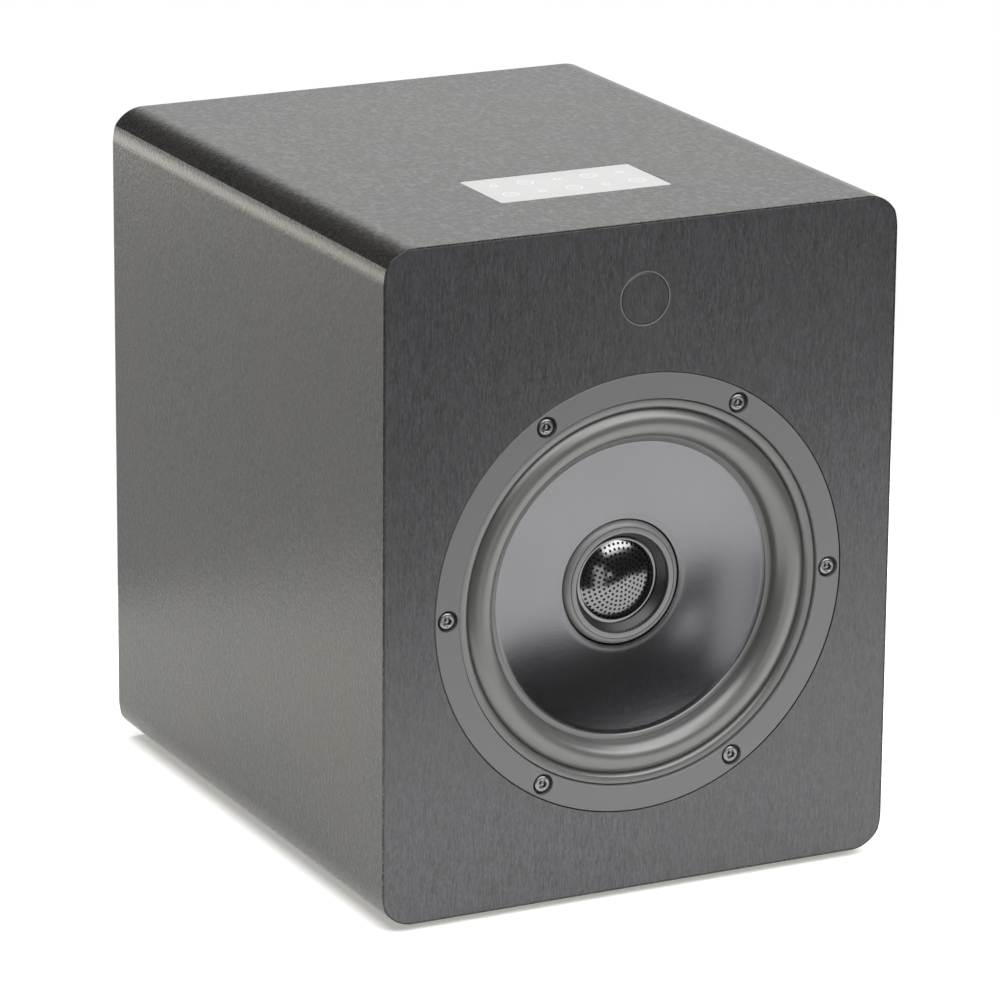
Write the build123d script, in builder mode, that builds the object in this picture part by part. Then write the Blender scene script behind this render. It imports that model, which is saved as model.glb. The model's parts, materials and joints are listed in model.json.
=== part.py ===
from build123d import *
from math import cos, radians, sin
import os

# Active bookshelf speaker with a flush coaxial driver.
# Millimetres. +X right, +Y back, +Z up; the origin is on the floor, under the middle of the box.

# Cabinet
body_width = 220.0
body_depth = 258.0
body_height = 268.0
edge_radius = 12.0
wrap_thickness = 0.8
board_thickness = 15.0
baffle_thickness = 16.5
fascia_thickness = 1.5
foot_height = 3.0
foot_radius = 9.0
foot_inset = 20.0
pad_thickness = 12.0
rear_reach = 12.0  # how far the heat sink stands behind the cabinet

# Touch panel in the top
touch_width = 74.0
touch_depth = 37.5
touch_setback = 48.5  # from the front face to the panel's front edge
touch_thickness = 2.0
touch_gap = 0.15
touch_corner = 1.0

# Front button
button_height = 237.8  # its centre above the cabinet's underside
button_radius = 10.0
button_travel = 0.8
bezel_inner = 10.3
bezel_outer = 10.7

# Driver: radii about its axis, depths behind the front face
driver_height = 120.2  # its axis above the cabinet's underside
flange_radius = 88.0
flange_thickness = 4.5
flange_gap = 0.35
ledge_radius = 77.7
ledge_depth = 2.2
throat_radius = 74.6
basket_wall = 2.0
gasket_thickness = 1.0
gasket_inset = 0.4
screw_circle = 82.7
screw_count = 6
screw_head_radius = 3.4
screw_recess_radius = 4.3
screw_recess_depth = 2.8
cone_rim_radius = 61.0
cone_rim_depth = 8.0
coil_inner = 26.0
pole_radius = 25.4
plate_depth = 41.0
plate_thickness = 5.0
magnet_thickness = 15.0
yoke_thickness = 6.0

# Tweeter in the middle of the driver
tweeter_radius = 25.0
tweeter_depth = 15.0
tweeter_opening = 20.1
grille_radius = 17.4
dome_radius = 12.5

# Rear panel
amp_width = 160.0
amp_height = 168.0
amp_lift = 12.0  # lower edge of the plate above the cabinet's underside
amp_thickness = 3.0
amp_margin = 10.0
port_height = 222.0
port_radius = 22.0
port_wall = 2.0
port_length = 113.0
flare_radius = 34.0
sink_width = 132.0
sink_height = 52.0
fin_count = 12
fin_thickness = 2.0

# Derived places
front_y = -(body_depth + rear_reach) / 2
back_y = front_y + body_depth
base_z = foot_height
top_z = base_z + body_height
middle_z = base_z + body_height / 2
inner_width = body_width - 2 * wrap_thickness
inner_height = body_height - 2 * wrap_thickness
inner_corner = edge_radius - wrap_thickness
room_width = inner_width - 2 * board_thickness
room_height = inner_height - 2 * board_thickness
baffle_back_y = front_y + fascia_thickness + baffle_thickness
rear_panel_y = back_y - board_thickness
driver_z = base_z + driver_height
driver_origin = (0, front_y, driver_z)
button_z = base_z + button_height
touch_y = front_y + touch_setback + touch_depth / 2
amp_z = base_z + amp_lift + amp_height / 2
port_z = base_z + port_height

os.makedirs("parts", exist_ok=True)


def save(piece, name):
    """Label a finished piece and write it under that name."""
    piece.part.label = name
    export_step(piece.part, f"parts/{name}.step")


def facing_front(depth, x=0.0, z=0.0):
    """Plane that looks at the listener, depth behind the front face."""
    return Plane(origin=(x, front_y + depth, z), x_dir=(1, 0, 0), z_dir=(0, -1, 0))


def facing_back(y, u=0.0, z=0.0):
    """Plane that looks backwards at y, with u to the right as seen from behind."""
    return Plane(origin=(-u, y, z), x_dir=(-1, 0, 0), z_dir=(0, 1, 0))


def on_amp(u, v, y=back_y):
    """Plane on the amplifier plate, u and v from the plate's centre as seen from behind."""
    return facing_back(y, u, amp_z + v)


def section_at(origin):
    """Half section through an axis along Y: x is the radius, y the depth behind the origin."""
    return Plane(origin=origin, x_dir=(1, 0, 0), z_dir=(0, 0, 1))


def turned(name, origin, outline):
    """Turn a closed outline of (radius, depth) points about the Y axis through origin."""
    with BuildPart() as piece:
        with BuildSketch(section_at(origin)):
            with BuildLine():
                Polyline(*outline, close=True)
            make_face()
        revolve(axis=Axis(origin, (0, 1, 0)))
    save(piece, name)
    return piece


def ring_outline(inner, outer, front, back):
    """Outline of a plain ring between two depths."""
    return [(inner, front), (outer, front), (outer, back), (inner, back)]


# Cabinet skin, boards and feet

# Laminate skin: one sleeve from the front face to the back, cut for the touch panel
with BuildPart() as cabinet_wrap:
    with BuildSketch(facing_front(0, z=middle_z)):
        RectangleRounded(body_width, body_height, edge_radius)
        RectangleRounded(inner_width, inner_height, inner_corner, mode=Mode.SUBTRACT)
    extrude(amount=-body_depth)
    with BuildSketch(Plane.XY.offset(top_z - 2 * wrap_thickness)):
        with Locations((0, touch_y)):
            RectangleRounded(touch_width + 2 * touch_gap, touch_depth + 2 * touch_gap, touch_corner)
    extrude(amount=3 * wrap_thickness, mode=Mode.SUBTRACT)
save(cabinet_wrap, "cabinet_wrap")

# Touch panel stack, from the top face down
touch_board_thickness = 1.6
touch_board_z = top_z - touch_thickness - touch_board_thickness
touch_pocket_z = touch_board_z
touch_lead_slot = (24.0, 6.0)


def cabinet_board(corners):
    """One mitred board of the sleeve, cut from the rounded section by its own wedge."""
    with BuildPart() as board:
        with BuildSketch(facing_front(fascia_thickness + baffle_thickness, z=middle_z)):
            RectangleRounded(inner_width, inner_height, inner_corner)
            Rectangle(room_width, room_height, mode=Mode.SUBTRACT)
            with BuildLine():
                Polyline(*corners, close=True)
            make_face(mode=Mode.INTERSECT)
        extrude(amount=baffle_back_y - rear_panel_y)
    return board


outer_x, outer_z = inner_width / 2, inner_height / 2
room_x, room_z = room_width / 2, room_height / 2

bottom_panel = cabinet_board(
    [(-outer_x, -outer_z), (outer_x, -outer_z), (room_x, -room_z), (-room_x, -room_z)]
)
save(bottom_panel, "bottom_panel")

side_panel_left = cabinet_board(
    [(-outer_x, -outer_z), (-room_x, -room_z), (-room_x, room_z), (-outer_x, outer_z)]
)
save(side_panel_left, "side_panel_left")

side_panel_right = cabinet_board(
    [(outer_x, -outer_z), (room_x, -room_z), (room_x, room_z), (outer_x, outer_z)]
)
save(side_panel_right, "side_panel_right")

top_board = cabinet_board(
    [(-outer_x, outer_z), (outer_x, outer_z), (room_x, room_z), (-room_x, room_z)]
)
with BuildPart() as top_panel:
    add(top_board)
    with BuildSketch(Plane.XY.offset(touch_pocket_z)):
        with Locations((0, touch_y)):
            RectangleRounded(touch_width + 2 * touch_gap, touch_depth + 2 * touch_gap, touch_corner)
    extrude(amount=2 * touch_thickness, mode=Mode.SUBTRACT)
    with BuildSketch(Plane.XY.offset(touch_pocket_z)):
        with Locations((0, touch_y)):
            Rectangle(*touch_lead_slot)
    extrude(amount=-board_thickness, mode=Mode.SUBTRACT)
save(top_panel, "top_panel")

# Touch panel: a flush translucent plate over its circuit board
with BuildPart() as touch_panel:
    with BuildSketch(Plane.XY.offset(top_z - touch_thickness)):
        with Locations((0, touch_y)):
            RectangleRounded(touch_width, touch_depth, touch_corner)
    extrude(amount=touch_thickness)
save(touch_panel, "touch_panel")

touch_board_inset = 2.0
with BuildPart() as touch_board:
    with BuildSketch(Plane.XY.offset(touch_board_z)):
        with Locations((0, touch_y)):
            Rectangle(touch_width - touch_board_inset, touch_depth - touch_board_inset)
    extrude(amount=touch_board_thickness)
save(touch_board, "touch_board")

# Front fascia: the brushed sheet that faces the baffle, inside the skin's front edge
with BuildPart() as front_fascia:
    with BuildSketch(facing_front(0, z=middle_z)):
        RectangleRounded(inner_width, inner_height, inner_corner)
        with Locations((0, driver_z - middle_z)):
            Circle(flange_radius + flange_gap, mode=Mode.SUBTRACT)
        with Locations((0, button_z - middle_z)):
            Circle(bezel_outer, mode=Mode.SUBTRACT)
    extrude(amount=-fascia_thickness)
save(front_fascia, "front_fascia")

# Baffle: rebated for the driver's flange, bored for the basket and the button
rebate_depth = flange_thickness + gasket_thickness
cutout_radius = 77.2
pilot_radius = 1.95
pilot_depth = 11.0
bezel_depth = 4.5
button_hole_radius = 7.0
housing_screw_offset = 10.6
housing_pilot_radius = 0.85
housing_pilot_depth = 7.0
baffle_back = fascia_thickness + baffle_thickness

with BuildPart() as front_baffle:
    with BuildSketch(facing_front(fascia_thickness, z=middle_z)):
        RectangleRounded(inner_width, inner_height, inner_corner)
    extrude(amount=-baffle_thickness)
    with BuildSketch(facing_front(fascia_thickness, z=driver_z)):
        Circle(flange_radius + flange_gap)
    extrude(amount=fascia_thickness - rebate_depth, mode=Mode.SUBTRACT)
    with BuildSketch(facing_front(fascia_thickness, z=driver_z)):
        Circle(cutout_radius)
    extrude(amount=-baffle_thickness, mode=Mode.SUBTRACT)
    with BuildSketch(facing_front(rebate_depth, z=driver_z)):
        with PolarLocations(screw_circle, screw_count):
            Circle(pilot_radius)
    extrude(amount=-pilot_depth, mode=Mode.SUBTRACT)
    with BuildSketch(facing_front(fascia_thickness, z=button_z)):
        Circle(bezel_outer)
    extrude(amount=fascia_thickness - bezel_depth, mode=Mode.SUBTRACT)
    with BuildSketch(facing_front(fascia_thickness, z=button_z)):
        Circle(button_hole_radius)
    extrude(amount=-baffle_thickness, mode=Mode.SUBTRACT)
    with BuildSketch(facing_front(baffle_back, z=button_z)):
        with Locations((-housing_screw_offset, 0), (housing_screw_offset, 0)):
            Circle(housing_pilot_radius)
    extrude(amount=housing_pilot_depth, mode=Mode.SUBTRACT)
save(front_baffle, "front_baffle")

# Rear panel: rebated for the amplifier plate, with a hole for the port's flare
amp_gasket_thickness = 1.0
amp_corner = 4.0
amp_gap = 0.3
amp_seat_y = back_y - amp_thickness - amp_gasket_thickness
amp_screw_radius = 1.75
amp_screw_reach = 9.0
amp_edge = amp_margin / 2
port_hole_radius = 28.5
amp_screw_spots = [
    (u * (amp_width / 2 - amp_edge), v * (amp_height / 2 - amp_edge))
    for u in (-1, 0, 1)
    for v in (-1, 0, 1)
    if (u, v) != (0, 0)
]

with BuildPart() as rear_panel:
    with BuildSketch(facing_back(rear_panel_y, z=middle_z)):
        RectangleRounded(inner_width, inner_height, inner_corner)
    extrude(amount=board_thickness)
    with BuildSketch(on_amp(0, 0, amp_seat_y)):
        RectangleRounded(amp_width + 2 * amp_gap, amp_height + 2 * amp_gap, amp_corner + amp_gap)
    extrude(amount=board_thickness, mode=Mode.SUBTRACT)
    with BuildSketch(on_amp(0, 0, amp_seat_y)):
        RectangleRounded(amp_width - 2 * amp_margin, amp_height - 2 * amp_margin, amp_corner)
    extrude(amount=-board_thickness, mode=Mode.SUBTRACT)
    with BuildSketch(on_amp(0, 0, amp_seat_y)):
        with Locations(*amp_screw_spots):
            Circle(amp_screw_radius + 0.05)
    extrude(amount=-amp_screw_reach, mode=Mode.SUBTRACT)
    with BuildSketch(facing_back(back_y, z=port_z)):
        Circle(port_hole_radius)
    extrude(amount=-board_thickness, mode=Mode.SUBTRACT)
save(rear_panel, "rear_panel")

# Damping pads on the side boards, behind the driver
pad_height = 190.0
pad_length = 110.0
pad_z = base_z + 44.0
pad_y = 52.0
with BuildPart() as damping_pads:
    for side in (-1, 1):
        with BuildSketch(Plane.XY.offset(pad_z)):
            with Locations((side * (room_x - pad_thickness / 2), pad_y - pad_length / 2)):
                Rectangle(pad_thickness, pad_length)
        extrude(amount=pad_height)
save(damping_pads, "damping_pads")

# Rubber feet, stuck under the four corners
foot_chamfer = 0.6
foot_x = body_width / 2 - foot_inset
foot_front_y = front_y + foot_inset
foot_back_y = back_y - foot_inset
with BuildPart() as feet:
    with BuildSketch(Plane.XY):
        with Locations(
            (-foot_x, foot_front_y), (foot_x, foot_front_y), (-foot_x, foot_back_y), (foot_x, foot_back_y)
        ):
            Circle(foot_radius)
    extrude(amount=foot_height)
    chamfer(feet.edges().group_by(Axis.Z)[0], foot_chamfer)
save(feet, "feet")

# Front button

guide_clearance = 0.06
stem_radius = 3.0
cap_thickness = 2.5
cap_ease = 0.2
stem_end = 23.4  # where the stem meets the switch's plunger
housing_boss_radius = 6.0
housing_boss_front = 8.0
housing_flange_radius = 13.6
housing_flange_thickness = 2.0
housing_screw_hole = housing_pilot_radius + 0.1
board_post_offset = 9.0
board_post_radius = 1.8
board_front = 27.5
board_size = 23.0
board_sheet = 1.6
switch_size = 8.0
switch_spare = 0.6
switch_front = 22.0

turned(
    "button_bezel",
    (0, front_y, button_z),
    ring_outline(bezel_inner, bezel_outer, 0, bezel_depth),
)

with BuildPart() as button_cap:
    with BuildSketch(facing_front(0, z=button_z)):
        Circle(button_radius)
    extrude(amount=-cap_thickness)
    with BuildSketch(facing_front(cap_thickness, z=button_z)):
        Circle(stem_radius)
    extrude(amount=cap_thickness - stem_end)
    chamfer(button_cap.edges().group_by(Axis.Y)[0], cap_ease)
save(button_cap, "button_cap")

with BuildPart() as button_housing:
    with BuildSketch(facing_front(baffle_back, z=button_z)):
        Circle(housing_flange_radius)
    extrude(amount=-housing_flange_thickness)
    with BuildSketch(facing_front(housing_boss_front, z=button_z)):
        Circle(housing_boss_radius)
    extrude(amount=housing_boss_front - baffle_back)
    with BuildSketch(facing_front(baffle_back + housing_flange_thickness, z=button_z)):
        with Locations((0, -board_post_offset), (0, board_post_offset)):
            Circle(board_post_radius)
    extrude(amount=baffle_back + housing_flange_thickness - board_front)
    with BuildSketch(facing_front(housing_boss_front, z=button_z)):
        Circle(stem_radius + guide_clearance)
    extrude(amount=-board_front, mode=Mode.SUBTRACT)
    with BuildSketch(facing_front(baffle_back, z=button_z)):
        with Locations((-housing_screw_offset, 0), (housing_screw_offset, 0)):
            Circle(housing_screw_hole)
    extrude(amount=-housing_flange_thickness, mode=Mode.SUBTRACT)
save(button_housing, "button_housing")

housing_screw_head = 1.8
housing_head_height = 1.2
housing_screw_spare = 1.0
with BuildPart() as button_screws:
    with BuildSketch(facing_front(baffle_back + housing_flange_thickness, z=button_z)):
        with Locations((-housing_screw_offset, 0), (housing_screw_offset, 0)):
            Circle(housing_screw_head)
    extrude(amount=-housing_head_height)
    with BuildSketch(facing_front(baffle_back + housing_flange_thickness, z=button_z)):
        with Locations((-housing_screw_offset, 0), (housing_screw_offset, 0)):
            Circle(housing_pilot_radius - 0.05)
    extrude(amount=housing_flange_thickness + housing_pilot_depth - housing_screw_spare)
save(button_screws, "button_screws")

with BuildPart() as button_board:
    with BuildSketch(facing_front(board_front, z=button_z)):
        Rectangle(board_size, board_size)
    extrude(amount=-board_sheet)
save(button_board, "button_board")

# Tact switch: its pocket takes the end of the stem, which is its plunger's seat
with BuildPart() as button_switch:
    with BuildSketch(facing_front(switch_front, z=button_z)):
        Rectangle(switch_size, switch_size)
    extrude(amount=switch_front - board_front)
    with BuildSketch(facing_front(switch_front, z=button_z)):
        Circle(stem_radius + guide_clearance)
    extrude(amount=switch_front - stem_end - button_travel - switch_spare, mode=Mode.SUBTRACT)
save(button_switch, "button_switch")

# Coaxial driver

basket_outer = throat_radius + basket_wall
wall_front = 10.0
spider_depth = 27.0
spider_seat_outer = 62.5
basket_neck = 52.5
base_front = plate_depth - basket_wall
base_inner = 30.0
flange_ease = 0.3
basket_outline = [
    (ledge_radius, flange_ease),
    (ledge_radius + flange_ease, 0),
    (flange_radius - flange_ease, 0),
    (flange_radius, flange_ease),
    (flange_radius, flange_thickness),
    (basket_outer, flange_thickness),
    (basket_outer, wall_front),
    (spider_seat_outer, spider_depth),
    (spider_seat_outer, spider_depth + basket_wall),
    (basket_neck, spider_depth + basket_wall),
    (basket_neck, plate_depth),
    (base_inner, plate_depth),
    (base_inner, base_front),
    (basket_neck - basket_wall, base_front),
    (basket_neck - basket_wall, spider_depth),
    (spider_seat_outer - basket_wall, spider_depth),
    (throat_radius, wall_front - 0.5),
    (throat_radius, ledge_depth),
    (ledge_radius, ledge_depth),
]
window_count = 6
flange_screw_hole = pilot_radius + 0.3
basket_windows = [  # radius of its middle, radial reach, width, front and back depth
    (68.0, 24.0, 46.0, 11.5, 25.0),
    (basket_neck, 10.0, 23.0, 30.5, 37.5),
]

with BuildPart() as driver_basket:
    with BuildSketch(section_at(driver_origin)):
        with BuildLine():
            Polyline(*basket_outline, close=True)
        make_face()
    revolve(axis=Axis(driver_origin, (0, 1, 0)))
    with BuildSketch(facing_front(0, z=driver_z)):
        with PolarLocations(screw_circle, screw_count):
            Circle(screw_recess_radius)
    extrude(amount=-screw_recess_depth, mode=Mode.SUBTRACT)
    with BuildSketch(facing_front(0, z=driver_z)):
        with PolarLocations(screw_circle, screw_count):
            Circle(flange_screw_hole)
    extrude(amount=-flange_thickness, mode=Mode.SUBTRACT)
    for radius, reach, width, near, far in basket_windows:
        with BuildSketch(facing_front(near, z=driver_z)):
            with PolarLocations(radius, window_count, start_angle=180 / window_count):
                Rectangle(reach, width)
        extrude(amount=near - far, mode=Mode.SUBTRACT)
save(driver_basket, "driver_basket")

with BuildPart() as driver_gasket:
    with BuildSketch(facing_front(flange_thickness, z=driver_z)):
        Circle(flange_radius - gasket_inset)
        Circle(cutout_radius, mode=Mode.SUBTRACT)
        with PolarLocations(screw_circle, screw_count):
            Circle(flange_screw_hole, mode=Mode.SUBTRACT)
    extrude(amount=-gasket_thickness)
save(driver_gasket, "driver_gasket")

head_height = 2.4
hex_across = 3.0
hex_depth = 1.5
head_ease = 0.4
screw_radius = 1.9
pilot_spare = 0.5
with BuildPart() as driver_screws:
    with BuildSketch(facing_front(screw_recess_depth - head_height, z=driver_z)):
        with PolarLocations(screw_circle, screw_count):
            Circle(screw_head_radius)
    extrude(amount=-head_height)
    chamfer(driver_screws.edges().group_by(Axis.Y)[0], head_ease)
    with BuildSketch(facing_front(screw_recess_depth, z=driver_z)):
        with PolarLocations(screw_circle, screw_count):
            Circle(screw_radius)
    extrude(amount=screw_recess_depth - rebate_depth - pilot_depth + pilot_spare)
    with BuildSketch(facing_front(screw_recess_depth - head_height, z=driver_z)):
        with PolarLocations(screw_circle, screw_count):
            RegularPolygon(hex_across / 2, 6, major_radius=False)
    extrude(amount=-hex_depth, mode=Mode.SUBTRACT)
save(driver_screws, "driver_screws")

# Rubber surround: a lip on the ledge, a shallow valley, then the half roll to the cone's rim
lip_front = 1.4
lip_outer = 77.3
valley = (73.2, 3.4)
roll_crest = (67.2, 0.6)
roll_foot = (61.3, 7.2)
roll_inner = 58.9
rubber = 0.8
with BuildPart() as surround:
    with BuildSketch(section_at(driver_origin)):
        with BuildLine():
            Polyline((lip_outer, ledge_depth), (lip_outer, lip_front), (valley[0] + 1.0, lip_front), valley)
            ThreePointArc(valley, roll_crest, roll_foot)
            Polyline(
                roll_foot,
                (roll_inner, roll_foot[1]),
                (roll_inner, cone_rim_depth),
                (roll_foot[0] + 0.5, cone_rim_depth),
            )
            ThreePointArc(
                (roll_foot[0] + 0.5, cone_rim_depth),
                (roll_crest[0], roll_crest[1] + rubber),
                (valley[0] - 0.3, valley[1] + 1.2),
            )
            Polyline(
                (valley[0] - 0.3, valley[1] + 1.2),
                (throat_radius - 0.3, valley[1] + 1.2),
                (throat_radius - 0.3, ledge_depth),
                (lip_outer, ledge_depth),
            )
        make_face()
    revolve(axis=Axis(driver_origin, (0, 1, 0)))
save(surround, "surround")

# Cone: a shallow curved dish from its flat rim to the voice coil
cone_belly = (43.0, 13.3)
cone_wall = 1.0
cone_lip = tweeter_radius + 0.45
cone_neck = 26.35
neck_outer = cone_neck + 1.0
neck_front = 16.6
lip_back = 17.6
neck_back = 20.5
rim_joint = cone_rim_depth + cone_wall + 0.2
with BuildPart() as cone:
    with BuildSketch(section_at(driver_origin)):
        with BuildLine():
            Polyline((cone_rim_radius, cone_rim_depth), (roll_inner - 0.3, cone_rim_depth))
            ThreePointArc((roll_inner - 0.3, cone_rim_depth), cone_belly, (neck_outer, neck_front))
            Polyline(
                (neck_outer, neck_front),
                (cone_lip, neck_front),
                (cone_lip, lip_back),
                (cone_neck, lip_back),
                (cone_neck, neck_back),
                (neck_outer, neck_back),
                (neck_outer, neck_front + cone_wall),
            )
            ThreePointArc(
                (neck_outer, neck_front + cone_wall),
                (cone_belly[0] + 0.2, cone_belly[1] + cone_wall),
                (roll_inner, rim_joint),
            )
            Polyline(
                (roll_inner, rim_joint),
                (cone_rim_radius, cone_rim_depth + cone_wall),
                (cone_rim_radius, cone_rim_depth),
            )
        make_face()
    revolve(axis=Axis(driver_origin, (0, 1, 0)))
save(cone, "cone")

former_wall = 0.3
former_back = 50.0
winding_height = 12.0
winding_front = plate_depth + plate_thickness / 2 - winding_height / 2
turned(
    "voice_coil_former",
    driver_origin,
    ring_outline(coil_inner, coil_inner + former_wall, lip_back + 0.05, former_back),
)
turned(
    "voice_coil_winding",
    driver_origin,
    ring_outline(
        coil_inner + former_wall + 0.05, coil_inner + 1.1, winding_front, winding_front + winding_height
    ),
)

# Spider: a corrugated cloth ring between the basket's step and the coil
spider_thickness = 0.6
spider_outer = 59.5
spider_inner = coil_inner + former_wall + 0.3
spider_landing = 50.0
corrugation_count = 7
corrugation_pitch = 2.8
corrugation_height = 1.0
first_corrugation = 30.0
spider_front = spider_depth - spider_thickness
corrugations = [
    (first_corrugation + n * corrugation_pitch, spider_front + corrugation_height * (-1) ** n)
    for n in range(corrugation_count)
]
spider_face = [
    (spider_inner, spider_front),
    *corrugations,
    (spider_landing, spider_front),
    (spider_outer, spider_front),
]
spider_back = [(radius, depth + spider_thickness) for radius, depth in reversed(spider_face)]
turned("spider", driver_origin, spider_face + spider_back)

# Motor: top plate, ring magnet, and a yoke whose pole carries the tweeter
gap_radius = coil_inner + 1.6
magnet_front = plate_depth + plate_thickness
magnet_back = magnet_front + magnet_thickness
pole_front = 36.0
pole_bore = 6.0
turned("top_plate", driver_origin, ring_outline(gap_radius, 45.0, plate_depth, magnet_front))
turned("magnet", driver_origin, ring_outline(31.0, 50.0, magnet_front, magnet_back))
turned(
    "pole_yoke",
    driver_origin,
    [
        (pole_bore, pole_front),
        (pole_radius, pole_front),
        (pole_radius, magnet_back),
        (44.0, magnet_back),
        (45.0, magnet_back + 1.0),
        (45.0, magnet_back + yoke_thickness),
        (pole_bore, magnet_back + yoke_thickness),
    ],
)

# Tag strip under the basket's neck, with two spade tabs
strip_width = 24.0
strip_front = 30.0
strip_length = 8.5
strip_thickness = 2.0
tab_width = 4.8
tab_thickness = 0.8
tab_length = 9.0
tab_offset = 6.5
strip_z = driver_z - basket_neck
with BuildPart() as driver_terminals:
    with BuildSketch(Plane.XY.offset(strip_z)):
        with Locations((0, front_y + strip_front + strip_length / 2)):
            Rectangle(strip_width, strip_length)
    extrude(amount=-strip_thickness)
    with BuildSketch(Plane.XY.offset(strip_z - strip_thickness / 2 + tab_thickness / 2)):
        for side in (-1, 1):
            with Locations((side * tab_offset, front_y + strip_front + strip_length + tab_length / 2)):
                Rectangle(tab_width, tab_length)
    extrude(amount=-tab_thickness)
save(driver_terminals, "driver_terminals")

# Tweeter

rim_back = 21.5
rim_bevel = (2.3, 2.8)  # across and deep
bore_radius = grille_radius + 0.2
grille_seat = 20.0
turned(
    "tweeter_ring",
    driver_origin,
    [
        (tweeter_radius, tweeter_depth + rim_bevel[1]),
        (tweeter_radius - rim_bevel[0], tweeter_depth),
        (tweeter_opening + 0.3, tweeter_depth),
        (tweeter_opening, tweeter_depth + 0.3),
        (tweeter_opening, tweeter_depth + 2.0),
        (bore_radius, grille_seat),
        (bore_radius, rim_back),
        (tweeter_radius, rim_back),
    ],
)

# Domed guard: the holes are finer than anything that has to fit it
guard_rise = 4.3
guard_apex = grille_seat - guard_rise
guard_wall = 0.5
guard_foot = 16.2
guard_sphere = (guard_foot**2 + guard_rise**2) / (2 * guard_rise)
with BuildPart() as tweeter_grille:
    with BuildSketch(section_at(driver_origin)):
        with BuildLine():
            RadiusArc((0, guard_apex), (guard_foot, grille_seat), -guard_sphere)
            Polyline(
                (guard_foot, grille_seat),
                (grille_radius, grille_seat),
                (grille_radius, grille_seat + guard_wall),
                (guard_foot, grille_seat + guard_wall),
            )
            RadiusArc(
                (guard_foot, grille_seat + guard_wall),
                (0, guard_apex + guard_wall),
                guard_sphere,
            )
            Line((0, guard_apex + guard_wall), (0, guard_apex))
        make_face()
    revolve(axis=Axis(driver_origin, (0, 1, 0)))
save(tweeter_grille, "tweeter_grille")

pot_radius = 22.0
gap_front = 24.0
gap_back = 27.0
pot_gap = dome_radius + 1.2
pot_floor = 33.0
turned(
    "tweeter_pot",
    driver_origin,
    [
        (pot_radius, rim_back),
        (pot_radius, pole_front),
        (pole_bore - 1.0, pole_front),
        (pole_bore - 1.0, pot_floor),
        (pot_gap + 2.0, pot_floor),
        (pot_gap + 2.0, gap_back),
        (pot_gap, gap_back),
        (pot_gap, gap_front),
        (bore_radius, gap_front),
        (bore_radius, rim_back),
    ],
)
turned("tweeter_magnet", driver_origin, ring_outline(3.0, dome_radius - 0.3, gap_front, pot_floor))
coil_front = 22.7
turned(
    "tweeter_coil",
    driver_origin,
    ring_outline(dome_radius + 0.05, dome_radius + 0.7, coil_front, gap_back + 0.5),
)

dome_apex = 19.3
dome_wall = 0.4
dome_rise = coil_front - dome_wall - dome_apex
dome_sphere = (dome_radius**2 + dome_rise**2) / (2 * dome_rise)
dome_edge = dome_radius + 0.9
with BuildPart() as tweeter_dome:
    with BuildSketch(section_at(driver_origin)):
        with BuildLine():
            RadiusArc((0, dome_apex), (dome_radius, coil_front - dome_wall), -dome_sphere)
            Polyline(
                (dome_radius, coil_front - dome_wall),
                (dome_edge, coil_front - dome_wall),
                (dome_edge, coil_front),
                (dome_radius, coil_front),
            )
            RadiusArc((dome_radius, coil_front), (0, dome_apex + dome_wall), dome_sphere)
            Line((0, dome_apex + dome_wall), (0, dome_apex))
        make_face()
    revolve(axis=Axis(driver_origin, (0, 1, 0)))
save(tweeter_dome, "tweeter_dome")

suspension_lip = (bore_radius - 0.1, 16.2)
suspension_crown = (15.0, 21.8)
suspension_sheet = 0.5
suspension_inner = dome_edge + 0.3
suspension_heel = suspension_lip[1] - 0.4
with BuildPart() as tweeter_suspension:
    with BuildSketch(section_at(driver_origin)):
        with BuildLine():
            Polyline(
                (suspension_lip[0], gap_front),
                (suspension_lip[0], gap_front - dome_wall),
                (suspension_lip[1], gap_front - dome_wall),
            )
            ThreePointArc(
                (suspension_lip[1], gap_front - dome_wall),
                suspension_crown,
                (suspension_inner, coil_front - 0.2),
            )
            Line((suspension_inner, coil_front - 0.2), (suspension_inner, coil_front + 0.2))
            ThreePointArc(
                (suspension_inner, coil_front + 0.2),
                (suspension_crown[0] - 0.1, suspension_crown[1] + suspension_sheet),
                (suspension_heel, gap_front),
            )
            Line((suspension_heel, gap_front), (suspension_lip[0], gap_front))
        make_face()
    revolve(axis=Axis(driver_origin, (0, 1, 0)))
save(tweeter_suspension, "tweeter_suspension")

# Reflex port

flare_lip = 2.0
flare_throat = 18.0
flare_mouth = 28.0
port_origin = (0, back_y, port_z)
with BuildPart() as port_flare:
    with BuildSketch(section_at(port_origin)):
        with BuildLine():
            Polyline(
                (port_radius, -flare_throat),
                (port_hole_radius - 0.3, -flare_throat),
                (port_hole_radius - 0.3, 0),
                (flare_radius, 0),
                (flare_radius, flare_lip - 0.8),
            )
            Line((flare_radius, flare_lip - 0.8), (flare_radius - 1.4, flare_lip))
            Line((flare_radius - 1.4, flare_lip), (flare_mouth, flare_lip))
            ThreePointArc((flare_mouth, flare_lip), (port_radius + 1.9, -4.0), (port_radius, -12.0))
            Line((port_radius, -12.0), (port_radius, -flare_throat))
        make_face()
    revolve(axis=Axis(port_origin, (0, 1, 0)))
save(port_flare, "port_flare")

turned(
    "port_tube",
    port_origin,
    ring_outline(port_radius, port_radius + port_wall, -port_length, -flare_throat),
)

# Amplifier panel

# Places on the plate, as seen from behind, from its centre
sink_spot = (0.0, 46.0)
phono_spots = [(-51.0, 2.0), (-33.0, 2.0)]
jack_spot = (-13.0, 2.0)
pair_spot = (10.0, 2.0)
knob_spot = (44.0, 0.0)
inlet_spot = (-38.0, -46.0)
rocker_spot = (22.0, -46.0)

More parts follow.
